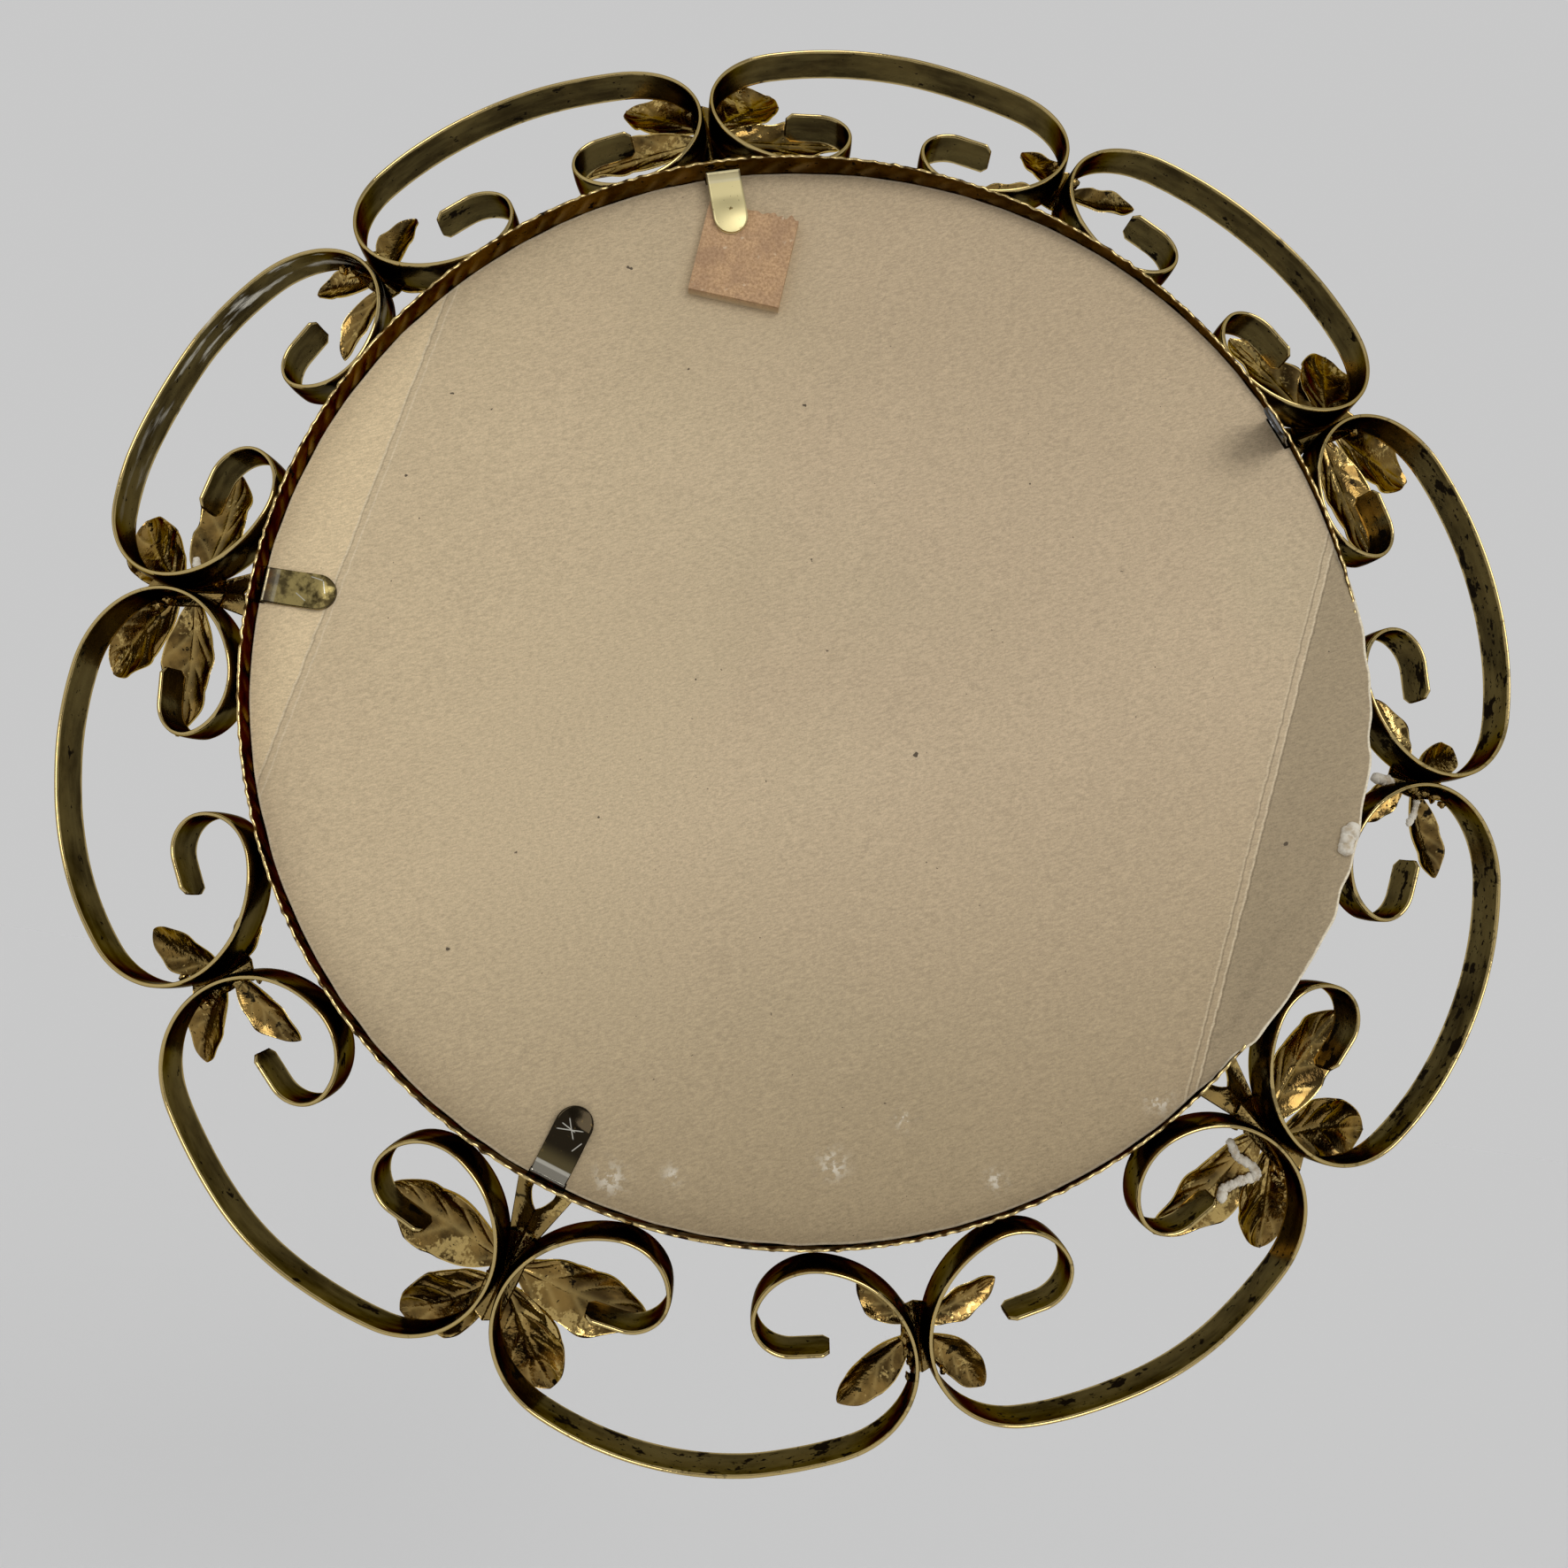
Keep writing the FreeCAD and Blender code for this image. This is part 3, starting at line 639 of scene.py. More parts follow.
def leaf(base, tip, width, cup, lift, curl, vein, ruffle, phase):
    """Leaf sheet. Half width is width / 2 times s^0.85 (1 - s)^0.75 over its top value, and no less than a
    stem; the rib lifts forwards with s, the edges come back by cup times the square of the place across, side
    veins are narrow slanted ridges and the edge waves by the ruffle."""
    s, w = np.meshgrid(np.linspace(0, 1, LEAF_ALONG), np.linspace(-1, 1, LEAF_ACROSS), indexing="ij")
    base, tip = plate(base), plate(tip)
    length = np.linalg.norm(tip - base)
    axis = (tip - base) / length
    top = FRONT_POWER / (FRONT_POWER + TIP_POWER)
    shape = s ** FRONT_POWER * (1 - s) ** TIP_POWER / (top ** FRONT_POWER * (1 - top) ** TIP_POWER)
    shape = np.maximum(np.maximum(shape, STEM_SHARE * (1 - s)), 0.02)
    shape = shape * (1 + EDGE_WAVE * np.sin(2 * np.pi * EDGE_WAVES * s + phase * np.sign(w)))
    half = width / 2 * shape
    slant = (0.5 + 0.5 * np.cos(2 * np.pi * (VEIN_PAIRS * s - VEIN_SLANT * np.abs(w)))) ** VEIN_SHARPNESS
    side = slant * np.sqrt(np.clip(1 - w ** 2, 0, 1)) * np.clip(np.abs(w) * 6, 0, 1)
    rib = hill(w, RIB_WIDTH) * (1 - 0.6 * s)
    ridge = np.maximum(0.7 * side, rib)
    wave = np.sin(2 * np.pi * RUFFLE_WAVES * s + phase + 1.5 * np.sign(w))
    wave = ruffle * np.abs(w) ** 3 * wave * shape
    height = lift * s ** 0.8 + curl * s ** 2 - cup * w ** 2 * shape - vein * ridge + wave
    sway = SWAY_SHARE * length * np.sin(np.pi * s) * math.cos(phase)
    u = base[0] + axis[0] * length * s - axis[1] * (w * half + sway)
    v = base[1] + axis[1] * length * s + axis[0] * (w * half + sway)
    limit = (DEEPEST - SCROLL_DEPTH - v * math.sin(SLOPE)) / math.cos(SLOPE) - LEAF_SHEET
    level = np.minimum(STRIP_WIDTH + PLATE_GAP + np.maximum(height, 0), limit)
    return *two_sheets(u, v, level, level + LEAF_SHEET), (w + 1) / 2, ridge


def collar(spread):
    """Plate along the strip's side, from inside the strip to the plane between the two scrolls."""
    rows, cols = COLLAR_CELLS
    angle, t = np.meshgrid(np.linspace(-spread, spread, rows), np.linspace(0, 1, cols), indexing="ij")
    du, dv = -np.cos(MEETING + angle), -np.sin(MEETING + angle)
    w = STRIP_WIDTH
    level = SCROLL_RADIUS + LOWER_RADIUS * math.cos(SLOPE) - w * math.sin(SLOPE)
    far = (math.sin(PITCH / 2) * level - math.cos(PITCH / 2) * FOOT_U) / (
        -math.sin(PITCH / 2) * dv * math.cos(SLOPE) - math.cos(PITCH / 2) * du)
    bulge = np.cos(angle / spread * np.pi / 2)
    near = LOWER_RADIUS - STRIP_THICKNESS - COLLAR_REACH * bulge
    rho = near + (np.minimum(far, LOWER_RADIUS + COLLAR_BEYOND) - near) * t
    u, v = -FOOT_U + rho * du, LOWER_RADIUS + rho * dv
    low = w + PLATE_GAP / 2
    sheets = two_sheets(u, v, low + 0 * bulge, low + COLLAR_SHEET * (0.4 + 0.6 * bulge))
    return *sheets, 0.5 + 0 * t, COLLAR_PAINTED_LIGHT + 0 * t


def fork():
    """Half of the forked foot. Its outer edge follows the strip and then runs straight to the ring; its inner
    edge is the plane between the scrolls down to the notch, which opens as a square root and stays even."""
    rows, cols = FORK_CELLS
    b, t = np.meshgrid(np.linspace(FORK_TOP, FORK_FOOT, rows), np.linspace(0, 1, cols), indexing="ij")
    on_strip = np.sqrt(np.clip(1 - (1 - b) ** 2, 0, 1)) - FORK_INSET
    leaving = math.sqrt(1 - (1 - FORK_LEAVES_STRIP) ** 2) - FORK_INSET
    below = FORK_LEAVES_STRIP - b
    straight = leaving + (FORK_FOOT_ACROSS - leaving) * below / (FORK_LEAVES_STRIP - FORK_FOOT)
    outer = np.where(b > FORK_LEAVES_STRIP, on_strip, straight)
    radial = SCROLL_RADIUS + b * LOWER_RADIUS * math.cos(SLOPE) - STRIP_WIDTH * math.sin(SLOPE)
    inner = (radial * math.tan(PITCH / 2) - FOOT_U) / LOWER_RADIUS
    inner = inner - NOTCH_HALF_SHARE * np.sqrt(np.clip((NOTCH_TOP - b) / NOTCH_ROUND, 0, 1))
    a = outer + (inner - outer) * t
    u, v = -FOOT_U - a * LOWER_RADIUS, b * LOWER_RADIUS
    dip = FORK_DIP * np.clip(FORK_DIPS_BELOW - b, 0, 1)
    height = STRIP_WIDTH + PLATE_GAP / 2 - dip + FORK_CROWN * np.sin(np.pi * t)
    rubbed = np.where(b < NOTCH_TOP, 0.02 + 0.48 * (1 - t), 0.5)
    return *two_sheets(u, v, height, height + LEAF_SHEET), rubbed, COLLAR_PAINTED_LIGHT + 0 * t


def round_axis(points, turn):
    """Points turned about the ring's axis."""
    x, z = points[..., 0], points[..., 2] - AXIS_HEIGHT
    return np.stack([x * math.cos(turn) - z * math.sin(turn), points[..., 1],
                     x * math.sin(turn) + z * math.cos(turn) + AXIS_HEIGHT], axis=-1)


def braze(seed, count):
    """Beads of braze along the inside of the strip where a sprig is joined to it."""
    rng = np.random.default_rng(seed)
    beads = []
    for _ in range(count):
        angle = MEETING + rng.uniform(-BRAZE_SPREAD, BRAZE_SPREAD)
        rho = LOWER_RADIUS - STRIP_THICKNESS - rng.uniform(*BRAZE_INWARD) * MM
        place = from_scroll(-FOOT_U - rho * math.cos(angle), LOWER_RADIUS - rho * math.sin(angle),
                            STRIP_WIDTH * rng.uniform(*BRAZE_ACROSS), -PITCH / 2)
        beads.append(lump(place, rng.uniform(*BRAZE_HALF, 3) * MM, int(rng.integers(1000))))
    return beads


def sprig(label, turn, sheets, worn, beads):
    """Both halves of a sprig: sheets and beads made at the ring's top, mirrored and turned into place."""
    shells, across, ridge = [], [], []
    for mirror in (1, -1):
        flip = np.array([mirror, 1, 1])
        for front, back, place, vein in sheets[mirror]:
            shells.append(slab(round_axis(front * flip, turn), round_axis(back * flip, turn)))
            across += [place.ravel(), place.ravel()]
            ridge += [vein.ravel(), vein.ravel()]
        for points, faces in beads[mirror]:
            shells.append((round_axis(points * flip, turn), faces))
            across.append(np.full(len(points), 0.5))
            ridge.append(np.full(len(points), 0.4))
    count = sum(len(part) for part in across)
    # 'ridge' brings gold to vein ridges as wear and painted highlight, and painted light to collars and forks
    values = {"across": np.concatenate(across), "ridge": np.concatenate(ridge), "worn": np.full(count, worn)}
    return piece("leaves_" + label, shells, LEAF_BRONZE, "mirror", [label], values)


# Base, tip, width, cup and lift of the leaves on the side before the joint, going clockwise, and after it
LARGE_INNER = ((0.90, 0.60), (-0.42, 1.08), 17 * MM, 2.6 * MM, 5.5 * MM)
LARGE_OUTER = ((0.93, 0.80), (0.46, 1.86), 17.5 * MM, 2.4 * MM, 5.0 * MM)
SMALL_INNER = ((0.88, 0.60), (0.06, 0.68), 9 * MM, 2.0 * MM, 4.2 * MM)
SMALL_OUTER = ((0.92, 0.72), (0.64, 1.55), 9.5 * MM, 2.0 * MM, 4.0 * MM)
HUGGING = ((0.88, 0.58), (0.36, 0.28), 9 * MM, 1.6 * MM, 3.0 * MM)
LONG_OUTER = ((0.90, 0.70), (0.36, 1.60), 10 * MM, 2.2 * MM, 4.4 * MM)
LARGE_LEAVES = {1: (LARGE_INNER, LARGE_OUTER), -1: (LARGE_INNER, LARGE_OUTER)}
SMALL_LEAVES = {1: (SMALL_INNER, SMALL_OUTER), -1: (HUGGING, LONG_OUTER)}
# Leaves, height of veins and ruffle, half angle of the collar, fork, seed, beads a side, wear and place
SPRIG_KINDS = {
    "large": (LARGE_LEAVES, 0.55 * MM, 0.95 * MM, math.radians(27), True, 0, 3, 0.5, 2.5),
    "small": (SMALL_LEAVES, 0.1 * MM, 0.4 * MM, math.radians(20), False, 20, 9, 0.6, 1.5),
}
# Least and most by which one leaf's sizes differ from the pattern, and its tip's curl in millimetres
WIDTH_SPREAD = (0.92, 1.06)
CUP_SPREAD = (0.8, 1.3)
LIFT_SPREAD = (0.8, 1.05)
CURL_SPREAD = (-1.5, 0.8)
TIP_SPREAD = 0.05


def sprig_sheets(leaves, vein, ruffle, spread, forked, seed):
    """Leaves, collar and fork of both halves, each leaf a little different from its twin."""
    rng = np.random.default_rng(seed)
    sheets = {}
    for mirror in (1, -1):
        sheets[mirror] = [collar(spread)]
        if forked:
            sheets[mirror].append(fork())
        for base, tip, width, cup, lift in leaves[mirror]:
            tip = np.array(tip) + rng.uniform(-TIP_SPREAD, TIP_SPREAD, 2)
            width = width * rng.uniform(*WIDTH_SPREAD)
            cup = cup * rng.uniform(*CUP_SPREAD)
            lift = lift * rng.uniform(*LIFT_SPREAD)
            curl = rng.uniform(*CURL_SPREAD) * MM
            phase = rng.uniform(0, 2 * np.pi)
            sheets[mirror].append(leaf(base, tip, width, cup, lift, curl, vein, ruffle, phase))
    return sheets


for number in range(1, SCROLLS // 2 + 1):
    for kind, (leaves, vein, ruffle, spread, forked, seed, count, worn, place) in SPRIG_KINDS.items():
        sheets = sprig_sheets(leaves, vein, ruffle, spread, forked, number + seed)
        beads = {mirror: braze(2 * (number + seed) + mirror, count) for mirror in (1, -1)}
        sprig(f"{kind}_sprig_{number:02d}", (2 * number - place) * PITCH, sheets, worn, beads)
print("sprigs made")

# %% [markdown]
# ## The ring
#
# The ring is thin sheet: its back edge is crinkled, its wall carries an embossed chain of slanted lenses,
# and the front swells into a moulding whose lip holds the glass. It is a profile turned round the axis,
# with the relief and the crinkle added to its radius and depth.

# %% Ring
RING_STEPS = 1800
WALL_DEPTH = 10 * MM
LENSES = 134
LENS_RELIEF = 0.26 * MM
LENS_SLANT = 2.6
LENS_START = 0.8 * MM
LENS_DRIFT = 1.5
CRINKLE = 0.2 * MM
CRINKLE_FADE = 2.5 * MM
RAGGED_FADE = 1 * MM
BRIGHT_DEPTH = 0.2 * MM
BRIGHT_SHARE = 0.022
LIP_WIDTH = 6 * MM
LIP_SHEET = 0.8 * MM
MOULDING_FULL = 13 * MM


def ring_profile():
    """Radius and depth round the sheet's closed profile: down the outside, over the lip and up the inside."""
    inside = MOULDING_RADIUS - RING_WALL
    lip = RING_RADIUS - LIP_WIDTH
    wall = WALL_DEPTH * np.linspace(0, 1, 14) ** 1.2
    outer = [(RING_RADIUS, d) for d in wall]
    outer += [(MOULDING_RADIUS, MOULDING_FULL), (MOULDING_RADIUS, RING_DEPTH - LIP_SHEET),
              (MOULDING_RADIUS - LIP_SHEET, RING_DEPTH), (lip, RING_DEPTH)]
    inner = [(lip, RING_DEPTH - LIP_SHEET), (inside, RING_DEPTH - LIP_SHEET), (inside, MOULDING_FULL)]
    inner += [(RING_RADIUS - RING_WALL, d) for d in wall[::-1]]
    return np.array(outer + inner)


def ring():
    """The profile at every angle. A lens is a squared wave along the wall whose phase slides with depth."""
    turn = np.linspace(0, 2 * np.pi, RING_STEPS, endpoint=False)[:, None]
    profile = ring_profile()
    radius, depth = profile[None, :, 0], profile[None, :, 1]
    on_wall = depth < WALL_DEPTH * 1.01
    slide = LENS_SLANT * np.sin(np.pi * (depth / WALL_DEPTH - 0.5))
    inset = np.clip((depth - LENS_START) / (WALL_DEPTH - LENS_START), 0, 1)
    drift = LENS_DRIFT * ripple(turn, 21, 5, 60)
    uneven = 0.8 + 0.45 * ripple(turn, 22, 20, 90)
    lens = (0.5 + 0.5 * np.sin(turn * LENSES + drift + slide)) ** 2 * np.sin(inset * np.pi) * uneven
    crinkle = ripple(turn, 5, 90, 320) * np.exp(-depth / CRINKLE_FADE)
    radius = radius + on_wall * (LENS_RELIEF * (lens - 0.4) + 0.5 * CRINKLE * crinkle)
    ragged = CRINKLE * (0.5 + 0.5 * ripple(turn, 8, 120, 380)) * np.exp(-depth / RAGGED_FADE)
    grid = from_ring(0.0, radius, depth + on_wall * ragged, turn)
    faces = quads(RING_STEPS, len(profile), wrap_rows=True, wrap_cols=True).tolist()
    patchy = BRIGHT_SHARE + BRIGHT_SHARE * ripple(turn, 31, 40, 300)
    edge = np.where(depth < BRIGHT_DEPTH, np.clip(patchy, 0, 0.5), 0.5)
    # the lenses' crests get painted gold glints through 'ridge'
    values = {"across": edge, "ridge": lens * on_wall, "worn": np.full(grid.shape[:2], 0.5)}
    shell = (grid.reshape(-1, 3), faces)
    return piece("brass_ring", [shell], RING_BRASS, "mirror", ["bezel_ring"], values)


ring()
print("ring made")

# %% [markdown]
# ## The card back
#
# The card lies deep in the ring at the left and rises to the right, where its clip stands open. It has
# been creased twice: beyond the left crease it is painted paler and beyond the right one painted darker, for
# how light falls on the folds, and the right one lifts out over the ring's edge. A disc of points takes its
# depth from these, and the marks, painted light and shade among them, go into attributes.

# %% Card
CARD_RECESS = 7.0 * MM
CARD_THICKNESS = 1.2 * MM
CARD_BEND = -20 * MM
CARD_LIFT_SHARE = 6 / 157
CARD_RADIUS = 138.2 * MM
CARD_PROUD_RADIUS = 139.6 * MM
CARD_RINGS = 66
CARD_STEPS = 640
NOTCH_RADIUS = 136.9 * MM
NOTCH_HALF = 4.75 * MM
NOTCH_SIDE = 0.02 * MM
# Ends of the creases, right and up from the axis, seen from behind
LEFT_CREASE = np.array([(-109.0, 82.2), (-128.0, -43.9)]) * MM
RIGHT_CREASE = np.array([(128.5, 54.0), (105.5, -92.2)]) * MM
CREASE_HEIGHT = 0.08 * MM
CREASE_INSET = 1 * MM
CREASE_SPREAD = 1.5 * MM
FOLD_LIFT = 1.9 * MM
FOLD_RUN = 14 * MM
HUMP_LIFT = 2.2 * MM
PROUD_RUN = 8 * MM
RAGGED_EDGE = 0.25 * MM
CORNER_TEAR = 1.2 * MM
SAG = 0.1 * MM
SAG_REACH = 0.85
PEEL_INSET = 7 * MM
PEEL_WANDER = 2.5 * MM
PEEL_HALF = 0.8 * MM
# Middle and spread of marks on the right flap, as shares down its crease
HUMP_DOWN, HUMP_SPREAD = 0.70, 0.28
TEAR_DOWN, TEAR_SPREAD = 0.93, 0.05
PEEL_DOWN, PEEL_SPREAD = 0.8, 0.22
# Scuffs on the card as right, up and radius
SCUFFS = ((-28, -129, 2.9), (-14, -126, 1.6), (23, -118, 2.6), (38, -105.5, 1.7), (61, -116, 1.8),
          (97, -92, 2.4))
FIBRE_SLANT = 0.44
# Crease line colours: painted shade in the grooves and painted highlight on the raised creases; the dark one
# also draws the peel line
CREASE_DARK = (0.17, 0.13, 0.08)
CREASE_HIGHLIGHT = (0.66, 0.55, 0.38)
TORN_PALE = (0.74, 0.66, 0.50)
# Flecks as scale of the noise, threshold and colour
FLECKS = ((260.0, 0.775, (0.10, 0.075, 0.05)), (620.0, 0.77, (0.15, 0.11, 0.07)))


def beyond(right, up, ends):
    """Distance past a crease, positive away from the middle, and share along it from its first end."""
    run = ends[1] - ends[0]
    length = np.linalg.norm(run)
    run = run / length
    across = np.array([run[1], -run[0]])
    if across @ ends.mean(axis=0) < 0:
        across = -across
    off = np.stack([right - ends[0, 0], up - ends[0, 1]], axis=-1)
    return off @ across, off @ run / length


def card_material():
    """Tan card: fine slanted fibre, painted light on the left side and the left fold, painted shade on the
    right fold, at the foot and less at the top, crease lines of painted shade and highlight, flecks and pale
    scuffs.
    """
    material, tree, shader, coords = new_material("tan card")
    slanted = node(tree, "ShaderNodeMapping", 0, {"vector_type": "TEXTURE"},
                   Vector=coords, Rotation=(0, FIBRE_SLANT, 0), Scale=(2.6, 1.0, 0.8))
    grain = noise(slanted, 1700.0, 3.0, 0.65) * 0.6 + noise(coords, 3000.0, 2.0, 0.6) * 0.4
    cloud = ramped(noise(coords, 11.0, 4.0, 0.6), 0.42, 0.7)
    colour = blended(cloud * 0.22, (0.505, 0.403, 0.261), (0.34, 0.26, 0.165))
    wander = (noise(coords, 330.0, 3.0) - 0.5) * (0.9 * MM)
    past_left = attribute(tree, "past_left") + wander
    past_right = attribute(tree, "past_right") + wander
    rim = attribute(tree, "rim") + wander * 0.6
    for mask, amount, paint in (
            # painted light: the card made lighter and warmer towards the left
            (attribute(tree, "warm"), 0.6, (0.585, 0.455, 0.28)),
            (ramped(noise(coords, 8.0, 2.0), 0.5, 0.68), 0.3, (0.54, 0.40, 0.27)),
            # painted shade: the card made darker at the foot and, less, at the top
            (attribute(tree, "painted_shade"), 0.85, (0.275, 0.205, 0.112)),
            # painted light and shade: the left flap paler and the right flap darker, for how light falls on
            # the folds
            (ramped(past_left, -0.2 * MM, 0.3 * MM), 0.7, (0.70, 0.55, 0.335)),
            (ramped(past_right, -0.2 * MM, 0.3 * MM), 0.75, (0.30, 0.235, 0.145)),
            # painted shade and painted highlight lines along both creases
            (line_mask(past_right, 0.0, 0.3 * MM), 0.6, CREASE_DARK),
            (line_mask(past_right, -2.1 * MM, 0.25 * MM), 0.5, CREASE_DARK),
            (line_mask(past_right, -0.5 * MM, 0.3 * MM), 0.5, CREASE_HIGHLIGHT),
            (line_mask(past_right, -2.6 * MM, 0.3 * MM), 0.35, CREASE_HIGHLIGHT),
            (line_mask(past_left, 0.0, 0.3 * MM), 0.6, CREASE_HIGHLIGHT),
            (line_mask(past_left, -2.0 * MM, 0.3 * MM), 0.5, CREASE_HIGHLIGHT),
            (line_mask(past_left, -0.45 * MM, 0.25 * MM), 0.3, CREASE_DARK),
            (attribute(tree, "peel"), 0.3, CREASE_DARK),
            (attribute(tree, "proud") * line_mask(rim, 0.0, 0.7 * MM), 0.9, TORN_PALE)):
        colour = blended(mask * amount, colour, paint)
    shade = node(tree, "ShaderNodeMapRange", Value=grain, From_Min=0.36, From_Max=0.64,
                 To_Min=0.80, To_Max=1.19)
    colour = node(tree, "ShaderNodeVectorMath", 0, {"operation": "SCALE"}, _0=colour, Scale=shade)
    for scale, low, paint in FLECKS:
        colour = blended(ramped(noise(coords, scale, 2.0), low, low + 0.015), colour, paint)
    broken = attribute(tree, "scuff") * ramped(noise(coords, 520.0, 4.0), 0.46, 0.58)
    colour = blended(broken, colour, (0.66, 0.60, 0.49))
    wire(tree, shader, Base_Color=colour, Roughness=0.85, Specular_IOR_Level=0.25)
    bumped(shader, grain, 0.3, 0.2 * MM)
    return material


TAN_CARD = card_material()


def notched(radius, turn):
    """The card's edge, drawn in where a clip's leg stands along the wall."""
    for degrees in CLIP_DEGREES.values():
        off = np.abs((turn - math.radians(degrees) + np.pi) % (2 * np.pi) - np.pi) * NOTCH_RADIUS
        radius = np.where(off < NOTCH_HALF, np.minimum(radius, NOTCH_RADIUS), radius)
    return radius


def card():
    """The disc's two sheets: depth is the recess less the rise to the right and the lift past the right
    crease. Extra steps round the disc lie at the corners of the notches."""
    rings = np.append(np.linspace(0.02, 1, CARD_RINGS) ** 0.7 * 0.9985, 1.0)
    corners = np.array([-NOTCH_HALF - NOTCH_SIDE, -NOTCH_HALF + NOTCH_SIDE, NOTCH_HALF - NOTCH_SIDE,
                        NOTCH_HALF + NOTCH_SIDE]) / NOTCH_RADIUS
    corners = np.radians(list(CLIP_DEGREES.values()))[:, None] + corners
    even = np.linspace(0, 2 * np.pi, CARD_STEPS, endpoint=False)
    steps = np.sort(np.concatenate([even, corners.ravel() % (2 * np.pi)]))
    share, turn = np.meshgrid(rings, steps, indexing="ij")
    flat_right, flat_up = CARD_RADIUS * np.sin(turn), CARD_RADIUS * np.cos(turn)
    edge_past, edge_down = beyond(flat_right, flat_up, RIGHT_CREASE)
    proud = np.clip(edge_past / PROUD_RUN, 0, 1)
    torn = CORNER_TEAR * hill(edge_down - TEAR_DOWN, TEAR_SPREAD) * proud
    ragged = RAGGED_EDGE * ripple(turn, 3, 20, 90) - torn
    reach = CARD_RADIUS + (CARD_PROUD_RADIUS - CARD_RADIUS) * proud + ragged * (0.3 + 0.7 * proud)
    edge = notched(reach, turn)
    radius = share * edge
    right, up = radius * np.sin(turn), radius * np.cos(turn)
    past_right, down = beyond(right, up, RIGHT_CREASE)
    past_left, _ = beyond(right, up, LEFT_CREASE)
    hump = hill(down - HUMP_DOWN, HUMP_SPREAD)
    lift = (FOLD_LIFT + HUMP_LIFT * hump) * np.clip(past_right / FOLD_RUN, 0, 1.2)
    crease = CREASE_HEIGHT * sum(hill(past + CREASE_INSET, CREASE_SPREAD) for past in (past_right, past_left))
    rise = CARD_LIFT_SHARE * np.maximum(right - CARD_BEND, 0)
    sag = SAG * (np.sin(right * 40) + np.sin(up * 33)) * np.clip((SAG_REACH - share) * 6, 0, 1)
    depth = CARD_RECESS - rise - lift - crease + sag
    back = from_ring(0.0, radius, depth, turn)
    front = from_ring(0.0, radius, depth + CARD_THICKNESS, turn)
    peel = edge - radius - PEEL_INSET - PEEL_WANDER * ripple(turn, 9, 5, 25)
    scuff = sum(hill(np.hypot(right - x * MM, up - z * MM), size * MM) for x, z, size in SCUFFS)
    to_right, to_top = right / CARD_RADIUS, up / CARD_RADIUS
    # foot and head mark where painted shade darkens the card: the foot, and less the top
    foot = np.clip((-to_top + 0.35 * to_right - 0.25) / 0.9, 0, 1)
    head = np.clip((to_top - 0.35) / 0.35, 0, 1)
    values = {
        "past_left": past_left,
        "past_right": past_right,
        "rim": edge - radius,
        "proud": 0.3 + 0.7 * proud,
        "peel": hill(peel, PEEL_HALF) * hill(down - PEEL_DOWN, PEEL_SPREAD) * (past_right > 0),
        # painted light towards the left, and painted shade at the foot and top
        "warm": np.clip((-to_right + 0.15) / 1.1, 0, 1),
        "painted_shade": foot + 0.2 * head,
        "scuff": np.clip(scuff, 0, 1),
    }
    values = {label: np.concatenate([v.ravel(), v.ravel(), [v[0].mean()] * 2]) for label, v in values.items()}
    return piece("card_back", [disc(back, front)], TAN_CARD, "mirror", ["backing_card"], values)


card()
print("card made")

# %% [markdown]
# ## Clips
#
# Each finger is a tongue of sheet with a round tip, slightly bowed and domed. It is worked out lying closed
# over the card and turned about its fold to where it stands at rest. The top one is painted bright for a
# bright reflection, the left one spotted, the bottom one dark with tarnish and painted dark reflection, the
# right one gone dark, with a silver band at the bend and a painted highlight line across it.

# %% Clips
FINGER_LENGTH = 18 * MM
FINGER_HALF = 4.5 * MM
CLIP_SHEET = 0.8 * MM
CLIP_SEAM = 0.05 * MM
FINGER_STRAIGHT = 7.5 * MM
FINGER_ALONG = 40
FINGER_ACROSS = 17
FINGER_BOW = {"top": 0.25 * MM, "right": 0.6 * MM, "bottom": 0.9 * MM, "left": 0.45 * MM}
FINGER_DOME = 0.3 * MM
OPEN_DEGREES = {"right": 58}
leg_low, leg_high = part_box("clip_leg_left")
HINGE_RADIUS = (leg_low[0] + leg_high[0]) / 2
SCRATCH_HALF = 0.009
SCRATCH_AND_HIGHLIGHT_WHITE = (0.66, 0.63, 0.54)
MIDDLE_OLIVE = (0.30, 0.235, 0.10)
BAND_GREY = (0.34, 0.32, 0.27)
BEND_SHARE = 0.16
# Scratches as start and end, each a share of the finger's length along it and across from its middle
DARK_SCRATCHES = (((0.62, -0.20), (0.74, 0.16)), ((0.58, 0.08), (0.82, -0.10)), ((0.72, -0.16), (0.68, 0.06)),
                  ((0.44, 0.12), (0.60, 0.20)))
PALE_SCRATCHES = (((0.80, -0.17), (0.86, 0.02)), ((0.62, -0.20), (0.80, -0.17)), ((0.45, 0.05), (0.62, 0.16)))


def dotted(place, direction):
    """How far a place lies in a direction."""
    return node(place.tree, "ShaderNodeVectorMath", "Value", {"operation": "DOT_PRODUCT"},
                _0=place, _1=(*direction, 0))


def scratch_mask(place, start, end):
    """1 on a thin line between two places, given as shares of the finger's length, fading at its ends."""
    start, run = np.array(start), np.array(end) - np.array(start)
    length = np.linalg.norm(run)
    run = run / length
    normal = np.array([-run[1], run[0]])
    line = line_mask(dotted(place, normal), float(start @ normal), SCRATCH_HALF)
    travelled = dotted(place, run) - (float(start @ run) + length / 2)
    return line * (1.0 - ramped(abs(travelled), length * 0.4, length / 2))


